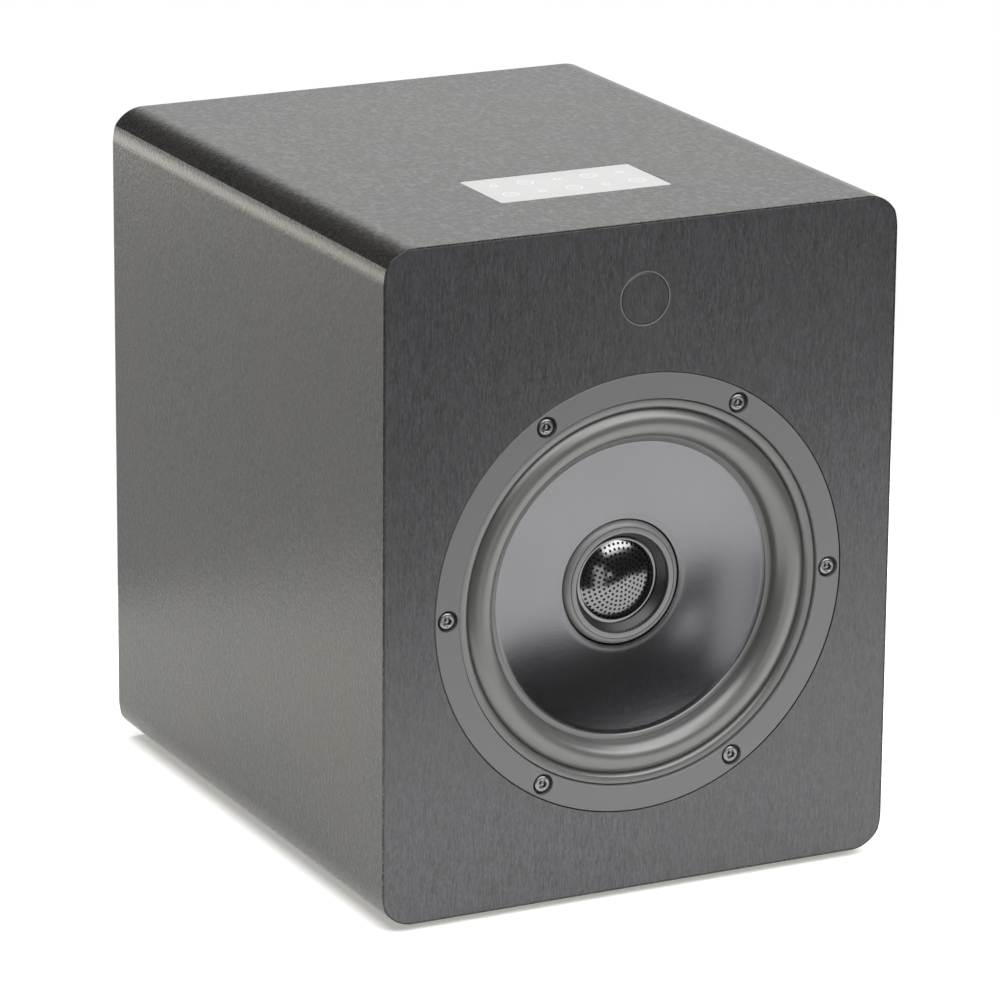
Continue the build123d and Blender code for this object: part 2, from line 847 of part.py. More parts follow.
phono_hole = 4.6
jack_hole = 3.6
pair_radius = 3.5
pair_travel = 1.0
pair_gap = 0.35
bushing_radius = 4.2
inlet_body = (28.0, 20.5)
rocker_body = (13.0, 19.4)

with BuildPart() as amp_gasket:
    with BuildSketch(on_amp(0, 0, amp_seat_y)):
        RectangleRounded(amp_width - 1, amp_height - 1, amp_corner)
        Rectangle(amp_width - 2 * amp_margin, amp_height - 2 * amp_margin, mode=Mode.SUBTRACT)
        with Locations(*amp_screw_spots):
            Circle(amp_screw_radius + 0.3, mode=Mode.SUBTRACT)
    extrude(amount=amp_gasket_thickness)
save(amp_gasket, "amp_gasket")

with BuildPart() as amp_plate:
    with BuildSketch(on_amp(0, 0, back_y - amp_thickness)):
        RectangleRounded(amp_width, amp_height, amp_corner)
        with Locations(*amp_screw_spots):
            Circle(amp_screw_radius + 0.3, mode=Mode.SUBTRACT)
        with Locations(*phono_spots):
            Circle(phono_hole, mode=Mode.SUBTRACT)
        with Locations(jack_spot):
            Circle(jack_hole, mode=Mode.SUBTRACT)
        with Locations(pair_spot):
            Circle(pair_radius + pair_gap, mode=Mode.SUBTRACT)
        with Locations(knob_spot):
            Circle(bushing_radius + 0.1, mode=Mode.SUBTRACT)
        with Locations(inlet_spot):
            Rectangle(inlet_body[0] + 0.4, inlet_body[1] + 0.4, mode=Mode.SUBTRACT)
        with Locations(rocker_spot):
            Rectangle(rocker_body[0] + 0.4, rocker_body[1] + 0.4, mode=Mode.SUBTRACT)
    extrude(amount=amp_thickness)
save(amp_plate, "amp_plate")

amp_head_radius = 3.2
amp_head_height = 1.7
cross_width = 0.9
cross_length = 3.6
cross_depth = 1.0
with BuildPart() as amp_screws:
    with BuildSketch(on_amp(0, 0)):
        with Locations(*amp_screw_spots):
            Circle(amp_head_radius)
    extrude(amount=amp_head_height)
    chamfer(amp_screws.edges().group_by(Axis.Y)[-1], 0.6)
    with BuildSketch(on_amp(0, 0)):
        with Locations(*amp_screw_spots):
            Circle(amp_screw_radius)
    extrude(amount=-(amp_thickness + amp_gasket_thickness + amp_screw_reach - 0.5))
    with BuildSketch(on_amp(0, 0, back_y + amp_head_height)):
        with Locations(*amp_screw_spots):
            Rectangle(cross_length, cross_width)
            Rectangle(cross_width, cross_length)
    extrude(amount=-cross_depth, mode=Mode.SUBTRACT)
save(amp_screws, "amp_screws")

sink_base = 3.0
fin_pitch = (sink_width - fin_thickness) / (fin_count - 1)
with BuildPart() as heat_sink:
    with BuildSketch(on_amp(*sink_spot)):
        Rectangle(sink_width, sink_height)
    extrude(amount=sink_base)
    with BuildSketch(on_amp(*sink_spot, y=back_y + sink_base)):
        with GridLocations(fin_pitch, 0, fin_count, 1):
            Rectangle(fin_thickness, sink_height)
    extrude(amount=rear_reach - sink_base)
save(heat_sink, "heat_sink")

# Mains inlet: flange outside the plate, a keyed cavity, and three blades in it
inlet_flange = (34.0, 26.0)
inlet_flange_thickness = 2.5
inlet_depth = 24.0
inlet_cavity = (24.0, 16.5)
inlet_cavity_depth = 17.0
inlet_key = 4.0
blade_size = (2.0, 4.0)
blade_length = 13.0
blade_spots = [(-7.0, -1.5), (7.0, -1.5), (0.0, 2.5)]
inlet_face_y = back_y + inlet_flange_thickness
with BuildPart() as mains_inlet:
    with BuildSketch(on_amp(*inlet_spot)):
        RectangleRounded(*inlet_flange, 2.0)
    extrude(amount=inlet_flange_thickness)
    with BuildSketch(on_amp(*inlet_spot)):
        Rectangle(*inlet_body)
    extrude(amount=-inlet_depth)
    with BuildSketch(on_amp(*inlet_spot, y=inlet_face_y)):
        cavity = Rectangle(*inlet_cavity)
        chamfer(cavity.vertices().group_by(Axis.Y)[-1], inlet_key)
    extrude(amount=-inlet_cavity_depth, mode=Mode.SUBTRACT)
save(mains_inlet, "mains_inlet")

with BuildPart() as inlet_pins:
    with BuildSketch(on_amp(*inlet_spot, y=inlet_face_y - inlet_cavity_depth)):
        with Locations(*blade_spots):
            Rectangle(*blade_size)
    extrude(amount=blade_length)
    chamfer(inlet_pins.edges().group_by(Axis.Y)[-1], 0.4)
save(inlet_pins, "inlet_pins")

# Mains rocker: a snap-in frame, and a rocker on stub axles that rests at its off tilt
rocker_flange = (15.0, 21.4)
rocker_flange_thickness = 1.6
rocker_body_depth = 20.0
rocker_pocket = (10.8, 16.4)
rocker_pocket_depth = 12.0
rocker_size = (10.0, 15.4)
rocker_tilt = 8.0
pivot_depth = 1.5  # the rocker's pivot below the plate's outer face
axle_radius = 1.0
axle_length = 11.8
pivot_y = back_y - pivot_depth
rocker_z = amp_z + rocker_spot[1]
with BuildPart() as rocker_frame:
    with BuildSketch(on_amp(*rocker_spot)):
        RectangleRounded(*rocker_flange, 1.2)
    extrude(amount=rocker_flange_thickness)
    with BuildSketch(on_amp(*rocker_spot)):
        Rectangle(*rocker_body)
    extrude(amount=-rocker_body_depth)
    with BuildSketch(on_amp(*rocker_spot, y=back_y + rocker_flange_thickness)):
        Rectangle(*rocker_pocket)
    extrude(amount=-(rocker_flange_thickness + rocker_pocket_depth), mode=Mode.SUBTRACT)
    with BuildSketch(Plane.YZ.offset(-rocker_spot[0])):
        with Locations((pivot_y, rocker_z)):
            Circle(axle_radius + guide_clearance)
    extrude(amount=axle_length / 2 + 0.3, both=True, mode=Mode.SUBTRACT)
save(rocker_frame, "rocker_frame")

rocker_half = rocker_size[1] / 2
rocker_rise = rocker_half * sin(radians(rocker_tilt))
rocker_plane = Plane(
    origin=(-rocker_spot[0], pivot_y, rocker_z),
    x_dir=(0, cos(radians(rocker_tilt)), sin(radians(rocker_tilt))),
    z_dir=(1, 0, 0),
)
with BuildPart() as power_rocker:
    with BuildSketch(rocker_plane):
        with BuildLine():
            Polyline(
                (3.0, 0),
                (3.0 + rocker_rise, rocker_half),
                (-0.5, rocker_half - 0.2),
                (-4.5, 2.5),
                (-4.5, -2.5),
                (-0.5, 0.2 - rocker_half),
                (3.0 + rocker_rise, -rocker_half),
                close=True,
            )
        make_face()
    extrude(amount=rocker_size[0] / 2, both=True)
    with BuildSketch(rocker_plane):
        Circle(axle_radius)
    extrude(amount=axle_length / 2, both=True)
save(power_rocker, "power_rocker")

# Volume control: potentiometer behind the plate, knob on its shaft outside
knob_radius = 9.0
knob_gap = 0.6
knob_back_y = back_y + rear_reach - 0.6
pot_shaft = 3.0
pot_front_y = back_y - 15.0
pot_body_radius = 8.5
bushing_proud = 3.5
flute_count = 24
flute_radius = 0.7
knob_hollow = 5.4
knob_cap = 0.6
shaft_reach = 6.0
shaft_socket = 2.0
pot_bore_depth = 8.0
pointer_size = (1.0, 4.0)
pointer_inset = 3.0
with BuildPart() as volume_pot:
    with BuildSketch(on_amp(*knob_spot, y=back_y - amp_thickness)):
        Circle(pot_body_radius)
    extrude(amount=-(back_y - amp_thickness - pot_front_y))
    with BuildSketch(on_amp(*knob_spot, y=back_y - amp_thickness)):
        Circle(bushing_radius)
    extrude(amount=amp_thickness + bushing_proud)
    with BuildSketch(on_amp(*knob_spot, y=back_y + bushing_proud)):
        Circle(pot_shaft + guide_clearance)
    extrude(amount=-(bushing_proud + amp_thickness + pot_bore_depth), mode=Mode.SUBTRACT)
save(volume_pot, "volume_pot")

with BuildPart() as volume_knob:
    with BuildSketch(on_amp(*knob_spot, y=back_y + knob_gap)):
        Circle(knob_radius)
        with PolarLocations(knob_radius + 0.2, flute_count):
            Circle(flute_radius, mode=Mode.SUBTRACT)
    extrude(amount=knob_back_y - back_y - knob_gap)
    with BuildSketch(on_amp(*knob_spot, y=back_y + knob_gap)):
        Circle(knob_hollow)
    extrude(amount=bushing_proud + knob_cap, mode=Mode.SUBTRACT)
    with BuildSketch(on_amp(*knob_spot, y=back_y - amp_thickness - shaft_reach)):
        Circle(pot_shaft)
    extrude(amount=amp_thickness + shaft_reach + bushing_proud + shaft_socket)
    with BuildSketch(on_amp(knob_spot[0], knob_spot[1] + knob_radius - pointer_inset, y=knob_back_y)):
        Rectangle(*pointer_size)
    extrude(amount=-knob_cap, mode=Mode.SUBTRACT)
save(volume_knob, "volume_knob")

# Pairing button: its stem rests in the small switch behind it
pair_foot_y = back_y - amp_thickness - 1.5
pair_cap_length = 7.0
pair_stem_radius = 1.6
pair_stem_length = 5.0
pair_switch_size = 9.0
pair_switch_depth = 7.0
with BuildPart() as pair_button:
    with BuildSketch(on_amp(*pair_spot, y=pair_foot_y)):
        Circle(pair_radius)
    extrude(amount=pair_cap_length)
    chamfer(pair_button.edges().group_by(Axis.Y)[-1], 0.4)
    with BuildSketch(on_amp(*pair_spot, y=pair_foot_y)):
        Circle(pair_stem_radius)
    extrude(amount=-pair_stem_length)
save(pair_button, "pair_button")

pair_switch_y = pair_foot_y - pair_travel - 0.4
with BuildPart() as pair_switch:
    with BuildSketch(on_amp(*pair_spot, y=pair_switch_y)):
        Rectangle(pair_switch_size, pair_switch_size)
    extrude(amount=-pair_switch_depth)
    with BuildSketch(on_amp(*pair_spot, y=pair_switch_y)):
        Circle(pair_stem_radius + guide_clearance)
    extrude(amount=-pair_stem_length, mode=Mode.SUBTRACT)
save(pair_switch, "pair_switch")

# Phono sockets: plated sleeves in coloured insulators
sleeve_radius = 4.15
sleeve_bore = 3.45
sleeve_length = 9.0
phono_flange = 6.5
phono_flange_thickness = 1.2
phono_tail = 11.0
contact_radius = 1.65
contact_depth = 10.0
with BuildPart() as phono_insulators:
    with BuildSketch(on_amp(0, 0)):
        with Locations(*phono_spots):
            Circle(phono_flange)
    extrude(amount=phono_flange_thickness)
    with BuildSketch(on_amp(0, 0)):
        with Locations(*phono_spots):
            Circle(phono_hole - 0.1)
    extrude(amount=-(amp_thickness + phono_tail))
    with BuildSketch(on_amp(0, 0, back_y + phono_flange_thickness)):
        with Locations(*phono_spots):
            Circle(contact_radius)
    extrude(amount=-contact_depth, mode=Mode.SUBTRACT)
save(phono_insulators, "phono_insulators")

with BuildPart() as phono_sleeves:
    with BuildSketch(on_amp(0, 0, back_y + phono_flange_thickness)):
        with Locations(*phono_spots):
            Circle(sleeve_radius)
            Circle(sleeve_bore, mode=Mode.SUBTRACT)
    extrude(amount=sleeve_length - phono_flange_thickness)
save(phono_sleeves, "phono_sleeves")

jack_bore = 1.8
jack_bush = 3.5
jack_proud = 1.5
jack_depth = 13.0
jack_body = (11.0, 9.0, 12.0)
with BuildPart() as headphone_jack:
    with BuildSketch(on_amp(*jack_spot, y=back_y - amp_thickness)):
        Rectangle(*jack_body[:2])
    extrude(amount=-jack_body[2])
    with BuildSketch(on_amp(*jack_spot, y=back_y - amp_thickness)):
        Circle(jack_bush)
    extrude(amount=amp_thickness + jack_proud)
    with BuildSketch(on_amp(*jack_spot, y=back_y + jack_proud)):
        Circle(jack_bore)
    extrude(amount=-jack_depth, mode=Mode.SUBTRACT)
save(headphone_jack, "headphone_jack")

# Circuit boards on stand-offs behind the plate, and the heavy parts they carry
circuit_sheet = 1.6
main_board_size = (130.0, 72.0)
main_board_spot = (0.0, 32.0)
main_board_y = back_y - amp_thickness - 20.0
power_board_size = (130.0, 50.0)
power_board_spot = (0.0, -42.0)
power_board_y = back_y - amp_thickness - 36.0
standoff_radius = 2.5
standoff_inset = 5.0
with BuildPart() as main_board:
    with BuildSketch(on_amp(*main_board_spot, y=main_board_y)):
        Rectangle(*main_board_size)
    extrude(amount=-circuit_sheet)
save(main_board, "main_board")

with BuildPart() as power_board:
    with BuildSketch(on_amp(*power_board_spot, y=power_board_y)):
        Rectangle(*power_board_size)
    extrude(amount=-circuit_sheet)
save(power_board, "power_board")

with BuildPart() as board_standoffs:
    for (width, height), spot, board_y in (
        (main_board_size, main_board_spot, main_board_y),
        (power_board_size, power_board_spot, power_board_y),
    ):
        with BuildSketch(on_amp(*spot, y=board_y)):
            with GridLocations(width - 2 * standoff_inset, height - 2 * standoff_inset, 2, 2):
                RegularPolygon(standoff_radius, 6)
        extrude(amount=back_y - amp_thickness - board_y)
save(board_standoffs, "board_standoffs")

transformer_size = (36.0, 34.0, 30.0)
transformer_u = -34.0
capacitor_radius = 9.0
capacitor_height = 32.0
capacitor_spots = [(12.0, 0.0), (34.0, 0.0)]
with BuildPart() as transformer:
    with BuildSketch(
        on_amp(power_board_spot[0] + transformer_u, power_board_spot[1], y=power_board_y - circuit_sheet)
    ):
        Rectangle(*transformer_size[:2])
    extrude(amount=-transformer_size[2])
    chamfer(transformer.edges().filter_by(Axis.Y), 3.0)
save(transformer, "transformer")

with BuildPart() as capacitors:
    with BuildSketch(on_amp(*power_board_spot, y=power_board_y - circuit_sheet)):
        with Locations(*capacitor_spots):
            Circle(capacitor_radius)
    extrude(amount=-capacitor_height)
    chamfer(capacitors.edges().group_by(Axis.Y)[0], 1.0)
save(capacitors, "capacitors")

# Driver lead: runs inside the cabinet from the tag strip to the main board
lead_radius = 1.8
lead_start_y = front_y + strip_front + strip_length + tab_length
lead_z = strip_z - strip_thickness / 2
lead_route = [
    (0, lead_start_y, lead_z),
    (0, -58.0, lead_z + 1.0),
    (10.0, -30.0, lead_z + 6.0),
    (14.0, 4.0, lead_z + 22.0),
    (8.0, 36.0, lead_z + 34.0),
    (0, 66.0, lead_z + 37.0),
    (0, main_board_y - circuit_sheet, lead_z + 37.0),
]


def bend_radii(route):
    """Radius of each corner's arc: as large as its two runs allow."""
    points = [Vector(*point) for point in route]
    radii = []
    for before, corner, after in zip(points, points[1:], points[2:]):
        turn = (corner - before).get_angle(after - corner)
        shorter = min((corner - before).length, (after - corner).length)
        radii.append(0.45 * shorter / (sin(radians(turn / 2)) / cos(radians(turn / 2))))
    return radii


lead_radii = bend_radii(lead_route)
print("driver lead radii:", [round(radius) for radius in lead_radii])
with BuildPart() as driver_lead:
    with BuildLine() as lead_path:
        FilletPolyline(*lead_route, radius=lead_radii)
    with BuildSketch(Plane(origin=lead_path.line @ 0, z_dir=lead_path.line % 0)):
        Circle(lead_radius)
    sweep()
save(driver_lead, "driver_lead")
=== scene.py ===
import json
import math
import bpy
import bmesh
from mathutils import Matrix, Vector
from mathutils.geometry import delaunay_2d_cdt


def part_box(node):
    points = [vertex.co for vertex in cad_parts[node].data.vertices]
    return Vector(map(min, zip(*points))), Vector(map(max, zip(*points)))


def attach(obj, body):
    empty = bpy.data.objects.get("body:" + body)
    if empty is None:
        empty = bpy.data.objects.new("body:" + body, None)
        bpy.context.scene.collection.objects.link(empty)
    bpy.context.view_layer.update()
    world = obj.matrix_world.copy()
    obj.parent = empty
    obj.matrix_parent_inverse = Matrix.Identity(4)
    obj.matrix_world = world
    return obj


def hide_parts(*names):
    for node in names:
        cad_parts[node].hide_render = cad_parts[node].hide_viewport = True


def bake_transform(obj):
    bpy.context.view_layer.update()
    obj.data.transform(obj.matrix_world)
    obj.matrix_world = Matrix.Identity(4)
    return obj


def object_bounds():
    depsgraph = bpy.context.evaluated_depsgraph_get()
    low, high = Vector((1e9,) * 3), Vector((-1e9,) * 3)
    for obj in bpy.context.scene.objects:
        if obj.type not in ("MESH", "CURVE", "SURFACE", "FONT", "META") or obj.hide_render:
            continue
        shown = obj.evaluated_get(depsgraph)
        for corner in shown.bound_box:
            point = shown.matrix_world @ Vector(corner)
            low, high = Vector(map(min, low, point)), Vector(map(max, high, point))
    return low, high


# Active bookshelf speaker: brushed grey cabinet, coaxial driver, light touch panel on top,
# amplifier panel behind. The scene is in metres; the dictionaries give sizes in millimetres.

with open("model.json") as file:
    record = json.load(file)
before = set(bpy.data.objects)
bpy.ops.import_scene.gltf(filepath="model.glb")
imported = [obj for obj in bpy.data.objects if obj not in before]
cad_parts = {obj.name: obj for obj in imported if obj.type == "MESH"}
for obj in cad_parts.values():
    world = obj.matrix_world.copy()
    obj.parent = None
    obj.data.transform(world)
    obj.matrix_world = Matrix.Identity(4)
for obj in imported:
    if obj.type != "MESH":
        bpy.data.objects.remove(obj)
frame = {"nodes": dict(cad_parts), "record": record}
cadLow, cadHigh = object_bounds()
nodes = frame["nodes"]
mm = 0.001
print("frame loaded,", len(nodes), "pieces")


def middle(node):
    low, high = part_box(node)
    return (low + high) / 2


wrapLow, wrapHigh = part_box("cabinet_wrap")
frontY = wrapLow.y                      # the front face
topZ = wrapHigh.z                       # the top face
driverCentre = Vector((0, frontY, middle("driver_basket").z))
bodyCentre = (wrapLow + wrapHigh) / 2


cameraSetup = {
    "lens": 210.0,
    "distance": 2.354,      # metres
    "azimuth": -26.64,      # degrees round from straight in front
    "elevation": 16.77,
    "roll": 0.49,
    "slideRight": 3.2,
    "slideUp": -10.8,
}


def setCamera(setup):
    azimuth, elevation, roll = (math.radians(setup[k]) for k in ("azimuth", "elevation", "roll"))
    back = Vector((math.sin(azimuth) * math.cos(elevation),
                   -math.cos(azimuth) * math.cos(elevation),
                   math.sin(elevation)))
    side = Vector((0, 0, 1)).cross(back).normalized()
    rise = back.cross(side)
    right = side * math.cos(roll) + rise * math.sin(roll)
    up = rise * math.cos(roll) - side * math.sin(roll)
    data = bpy.data.cameras.new("studioCamera")
    data.lens = setup["lens"]
    camera = bpy.data.objects.new("studioCamera", data)
    turn = Matrix((right, up, back)).transposed().to_4x4()
    place = bodyCentre + back * setup["distance"]
    place += right * setup["slideRight"] * mm + up * setup["slideUp"] * mm
    camera.matrix_world = Matrix.Translation(place) @ turn
    bpy.context.scene.collection.objects.link(camera)
    bpy.context.scene.camera = camera


setCamera(cameraSetup)
print("camera set")


def addNode(tree, kind, **settings):
    made = tree.nodes.new("ShaderNode" + kind)
    for key, value in settings.items():
        setattr(made, key, value)
    return made


def feed(tree, source, target):
    # a plain value goes on the socket, an output is linked to it
    if isinstance(source, bpy.types.NodeSocket):
        tree.links.new(source, target)
    else:
        target.default_value = source


def newFinish(name, colour, roughness, **sockets):
    finish = bpy.data.materials.new(name)
    finish.use_nodes = True
    tree = finish.node_tree
    shader = tree.nodes["Principled BSDF"]
    shader.inputs["Base Color"].default_value = (*colour, 1)
    shader.inputs["Roughness"].default_value = roughness
    for socket, value in sockets.items():
        shader.inputs[socket].default_value = value
    return finish, tree, shader


def stretched(tree, scale):
    # object coordinates in metres, scaled per axis to cycles per metre
    coords = addNode(tree, "TexCoord")
    mapping = addNode(tree, "Mapping")
    mapping.inputs["Scale"].default_value = scale
    feed(tree, coords.outputs["Object"], mapping.inputs["Vector"])
    return mapping.outputs["Vector"]


def noise(tree, scale, detail=2.0, roughness=0.5, distortion=0.0):
    made = addNode(tree, "TexNoise")
    feed(tree, stretched(tree, scale), made.inputs["Vector"])
    made.inputs["Scale"].default_value = 1.0
    made.inputs["Detail"].default_value = detail
    made.inputs["Roughness"].default_value = roughness
    made.inputs["Distortion"].default_value = distortion
    return made.outputs["Fac"]


def spread(tree, value, fromLow, fromHigh, toLow, toHigh):
    made = addNode(tree, "MapRange")
    feed(tree, value, made.inputs["Value"])
    for socket, number in zip(("From Min", "From Max", "To Min", "To Max"),
                              (fromLow, fromHigh, toLow, toHigh)):
        made.inputs[socket].default_value = number
    return made.outputs["Result"]


def sums(tree, operation, first, second):
    made = addNode(tree, "Math", operation=operation)
    feed(tree, first, made.inputs[0])
    feed(tree, second, made.inputs[1])
    return made.outputs["Value"]


def tint(tree, factor, dark, light):
    made = addNode(tree, "Mix", data_type="RGBA")
    feed(tree, factor, made.inputs["Factor"])
    feed(tree, (*dark, 1) if isinstance(dark, tuple) else dark, made.inputs["A"])
    feed(tree, (*light, 1) if isinstance(light, tuple) else light, made.inputs["B"])
    return made.outputs["Result"]


def bumped(tree, shader, height, depth, strength=1.0):
    made = addNode(tree, "Bump")
    made.inputs["Strength"].default_value = strength
    made.inputs["Distance"].default_value = depth * mm
    feed(tree, height, made.inputs["Height"])
    feed(tree, made.outputs["Normal"], shader.inputs["Normal"])


def shade(colour, factor):
    return tuple(min(1.0, channel * factor) for channel in colour)


def mixedHalf(tree, first, second):
    return sums(tree, "ADD", sums(tree, "MULTIPLY", first, 0.5), sums(tree, "MULTIPLY", second, 0.5))


def brushedFinish(name, look):
    # metallic-look laminate: soft streaks along the grain, a fine fleck, a few coloured specks, and painted
    # light: lighter flakes on the faces looking up only
    finish, tree, shader = newFinish(name, look["colour"], look["roughness"], Metallic=look["metal"])
    grain = mixedHalf(tree, noise(tree, look["streak"], 2.0, 0.6), noise(tree, look["fleck"], 2.0, 0.6))
    toned = spread(tree, grain, 0.36, 0.64, 0.0, 1.0)
    base = tint(tree, toned, shade(look["colour"], 1 - look["contrast"]),
                shade(look["colour"], 1 + look["contrast"]))
    cloud = noise(tree, look["cloud"], 2.0, 0.5)
    wash = tint(tree, spread(tree, cloud, 0.4, 0.62, 0.0, look["warmth"]), base, look["warmColour"])
    speck = noise(tree, look["speck"], 1.0, 0.5)
    dusted = tint(tree, spread(tree, speck, 0.58, 0.74, 0.0, look["speckShare"]), wash,
                  look["speckColour"])
    if "paintedTopLightColour" in look:           # painted light: a lighter flake pattern kept to the faces looking up, so the top reads lit from above
        facing = addNode(tree, "NewGeometry")
        split = addNode(tree, "SeparateXYZ")
        feed(tree, facing.outputs["Normal"], split.inputs["Vector"])
        flake = noise(tree, look["flake"], 2.0, 0.55)
        # flake pattern masked by the face's upward normal: painted light on the top
        shown = sums(tree, "MULTIPLY", spread(tree, flake, 0.46, 0.66, 0.0, 1.0),
                     spread(tree, split.outputs["Z"], 0.8, 0.98, 0.0, 1.0))
        dusted = tint(tree, shown, dusted, look["paintedTopLightColour"])
    feed(tree, dusted, shader.inputs["Base Color"])
    worn = spread(tree, grain, 0.3, 0.7, look["roughness"] - 0.05, look["roughness"] + 0.07)
    feed(tree, worn, shader.inputs["Roughness"])
    bumped(tree, shader, grain, look["relief"], look["reliefStrength"])
    return finish


laminateLook = {
    "colour": (0.041, 0.041, 0.040),
    "metal": 0.60,
    "warmColour": (0.052, 0.047, 0.038),
    "warmth": 0.40,
    "contrast": 0.55,
    "roughness": 0.25,
    "streak": (620.0, 560.0, 420.0),    # cells per metre along X, Y and Z
    "fleck": (1150.0, 1000.0, 800.0),
    "flake": (520.0, 330.0, 400.0),
    # painted light: lighter flakes shown only on the top faces, as if lit from above
    "paintedTopLightColour": (0.096, 0.096, 0.096),
    "cloud": (14.0, 18.0, 12.0),
    "speck": (900.0, 900.0, 520.0),
    "speckColour": (0.095, 0.065, 0.040),
    "speckShare": 0.5,
    "relief": 0.16,
    "reliefStrength": 0.8,
}
fasciaLook = {
    "colour": (0.068, 0.068, 0.073),
    "metal": 0.62,
    "warmColour": (0.075, 0.075, 0.078),
    "warmth": 0.3,
    "contrast": 0.30,
    "roughness": 0.34,
    "streak": (1500.0, 240.0, 190.0),
    "fleck": (1900.0, 500.0, 620.0),
    "cloud": (12.0, 9.0, 9.0),
    "speck": (1300.0, 600.0, 420.0),
    "speckColour": (0.110, 0.110, 0.112),
    "speckShare": 0.4,
    "relief": 0.03,
    "reliefStrength": 0.35,
}


def satinFinish(name, look):
    # painted or moulded surface: fine even grain, faint cloudiness
    sockets = look.get("sockets", {})
    finish, tree, shader = newFinish(name, look["colour"], look["roughness"], **sockets)
    grainScale = look.get("grain", 1800.0)
    grain = noise(tree, (grainScale,) * 3, 3.0, 0.6)
    cloud = noise(tree, (look.get("cloud", 18.0),) * 3, 3.0, 0.5)
    mixed = mixedHalf(tree, grain, cloud)
    contrast = look.get("contrast", 0.12)
    base = tint(tree, spread(tree, mixed, 0.35, 0.65, 0.0, 1.0), shade(look["colour"], 1 - contrast),
                shade(look["colour"], 1 + contrast))
    feed(tree, base, shader.inputs["Base Color"])
    swing = look.get("swing", 0.05)
    feed(tree, spread(tree, mixed, 0.3, 0.7, look["roughness"] - swing, look["roughness"] + swing),
         shader.inputs["Roughness"])
    bumped(tree, shader, grain, look.get("relief", 0.02), look.get("reliefStrength", 0.3))
    return finish


satinLooks = {
    "surround_rubber": {"colour": (0.057, 0.057, 0.056), "roughness": 0.36, "contrast": 0.08,
                        "relief": 0.006, "cloud": 30.0,
                        "sockets": {"Specular IOR Level": 1.0, "Coat Weight": 0.3,
                                    "Coat Roughness": 0.3}},
    "foot_rubber": {"colour": (0.016, 0.016, 0.017), "roughness": 0.7, "contrast": 0.2},
    "panel_black": {"colour": (0.014, 0.014, 0.015), "roughness": 0.55, "contrast": 0.25,
                    "relief": 0.06, "grain": 1100.0},
    "plate_black": {"colour": (0.020, 0.020, 0.022), "roughness": 0.45, "contrast": 0.2,
                    "relief": 0.05, "grain": 1500.0},
    "moulded_black": {"colour": (0.018, 0.018, 0.019), "roughness": 0.42, "contrast": 0.15,
                      "relief": 0.03, "grain": 1300.0},
    "foam_black": {"colour": (0.02, 0.02, 0.02), "roughness": 0.95, "contrast": 0.5,
                   "relief": 0.25, "grain": 900.0},
    "ferrite": {"colour": (0.03, 0.028, 0.027), "roughness": 0.65, "contrast": 0.3, "relief": 0.05},
    "former_paper": {"colour": (0.03, 0.028, 0.026), "roughness": 0.6, "contrast": 0.15},
    "lead_black": {"colour": (0.015, 0.015, 0.016), "roughness": 0.5, "contrast": 0.2},
    "dome_silk": {"colour": (0.02, 0.02, 0.022), "roughness": 0.6, "contrast": 0.3,
                  "relief": 0.05, "grain": 2500.0,
                  "sockets": {"Sheen Weight": 0.4, "Sheen Roughness": 0.5}},
}


def metalFinish(name, look):
    # bare or coated metal with a fine directionless finish
    finish, tree, shader = newFinish(name, look["colour"], look["roughness"], Metallic=1.0)
    grain = noise(tree, (look.get("grain", 2200.0),) * 3, 3.0, 0.55)
    cloud = noise(tree, (look.get("cloud", 30.0),) * 3, 2.0, 0.5)
    contrast = look.get("contrast", 0.1)
    base = tint(tree, spread(tree, cloud, 0.3, 0.7, 0.0, 1.0), shade(look["colour"], 1 - contrast),
                shade(look["colour"], 1 + contrast))
    feed(tree, base, shader.inputs["Base Color"])
    swing = look.get("swing", 0.04)
    feed(tree, spread(tree, grain, 0.3, 0.7, look["roughness"] - swing, look["roughness"] + swing),
         shader.inputs["Roughness"])
    bumped(tree, shader, grain, look.get("relief", 0.006), look.get("reliefStrength", 0.3))
    return finish


metalLooks = {
    "cone_grey": {"colour": (0.140, 0.138, 0.148), "roughness": 0.21, "contrast": 0.03,
                  "relief": 0.05, "grain": 1700.0},
    "grille_black": {"colour": (0.150, 0.150, 0.153), "roughness": 0.15, "contrast": 0.1,
                     "relief": 0.006, "grain": 2600.0},
    "screw_steel": {"colour": (0.20, 0.20, 0.205), "roughness": 0.32, "contrast": 0.12},
    "motor_steel": {"colour": (0.45, 0.44, 0.42), "roughness": 0.4, "contrast": 0.15},
    "copper_coil": {"colour": (0.62, 0.27, 0.12), "roughness": 0.3, "contrast": 0.15},
    "plated_brass": {"colour": (0.78, 0.60, 0.28), "roughness": 0.22, "contrast": 0.08},
}


def boardFinish(name, colour):
    # green solder resist with lighter tracks under it
    finish, tree, shader = newFinish(name, colour, 0.32)
    shader.inputs["Coat Weight"].default_value = 0.5
    tracks = addNode(tree, "TexBrick", offset=0.5)
    feed(tree, stretched(tree, (130.0, 130.0, 130.0)), tracks.inputs["Vector"])
    tracks.inputs["Scale"].default_value = 1.0
    tracks.inputs["Mortar Size"].default_value = 0.06
    speck = noise(tree, (400.0,) * 3, 2.0, 0.5)
    green = tint(tree, speck, shade(colour, 0.8), shade(colour, 1.25))
    feed(tree, tint(tree, tracks.outputs["Fac"], green, shade(colour, 1.9)), shader.inputs["Base Color"])
    bumped(tree, shader, tracks.outputs["Fac"], 0.03)
    return finish


def fibreFinish(name, colour):
    # pressed wood fibre
    finish, tree, shader = newFinish(name, colour, 0.8)
    fibre = noise(tree, (700.0, 700.0, 700.0), 5.0, 0.7, 0.4)
    feed(tree, tint(tree, spread(tree, fibre, 0.3, 0.7, 0.0, 1.0), shade(colour, 0.7), shade(colour, 1.2)),
         shader.inputs["Base Color"])
    bumped(tree, shader, fibre, 0.12, 0.5)
    return finish


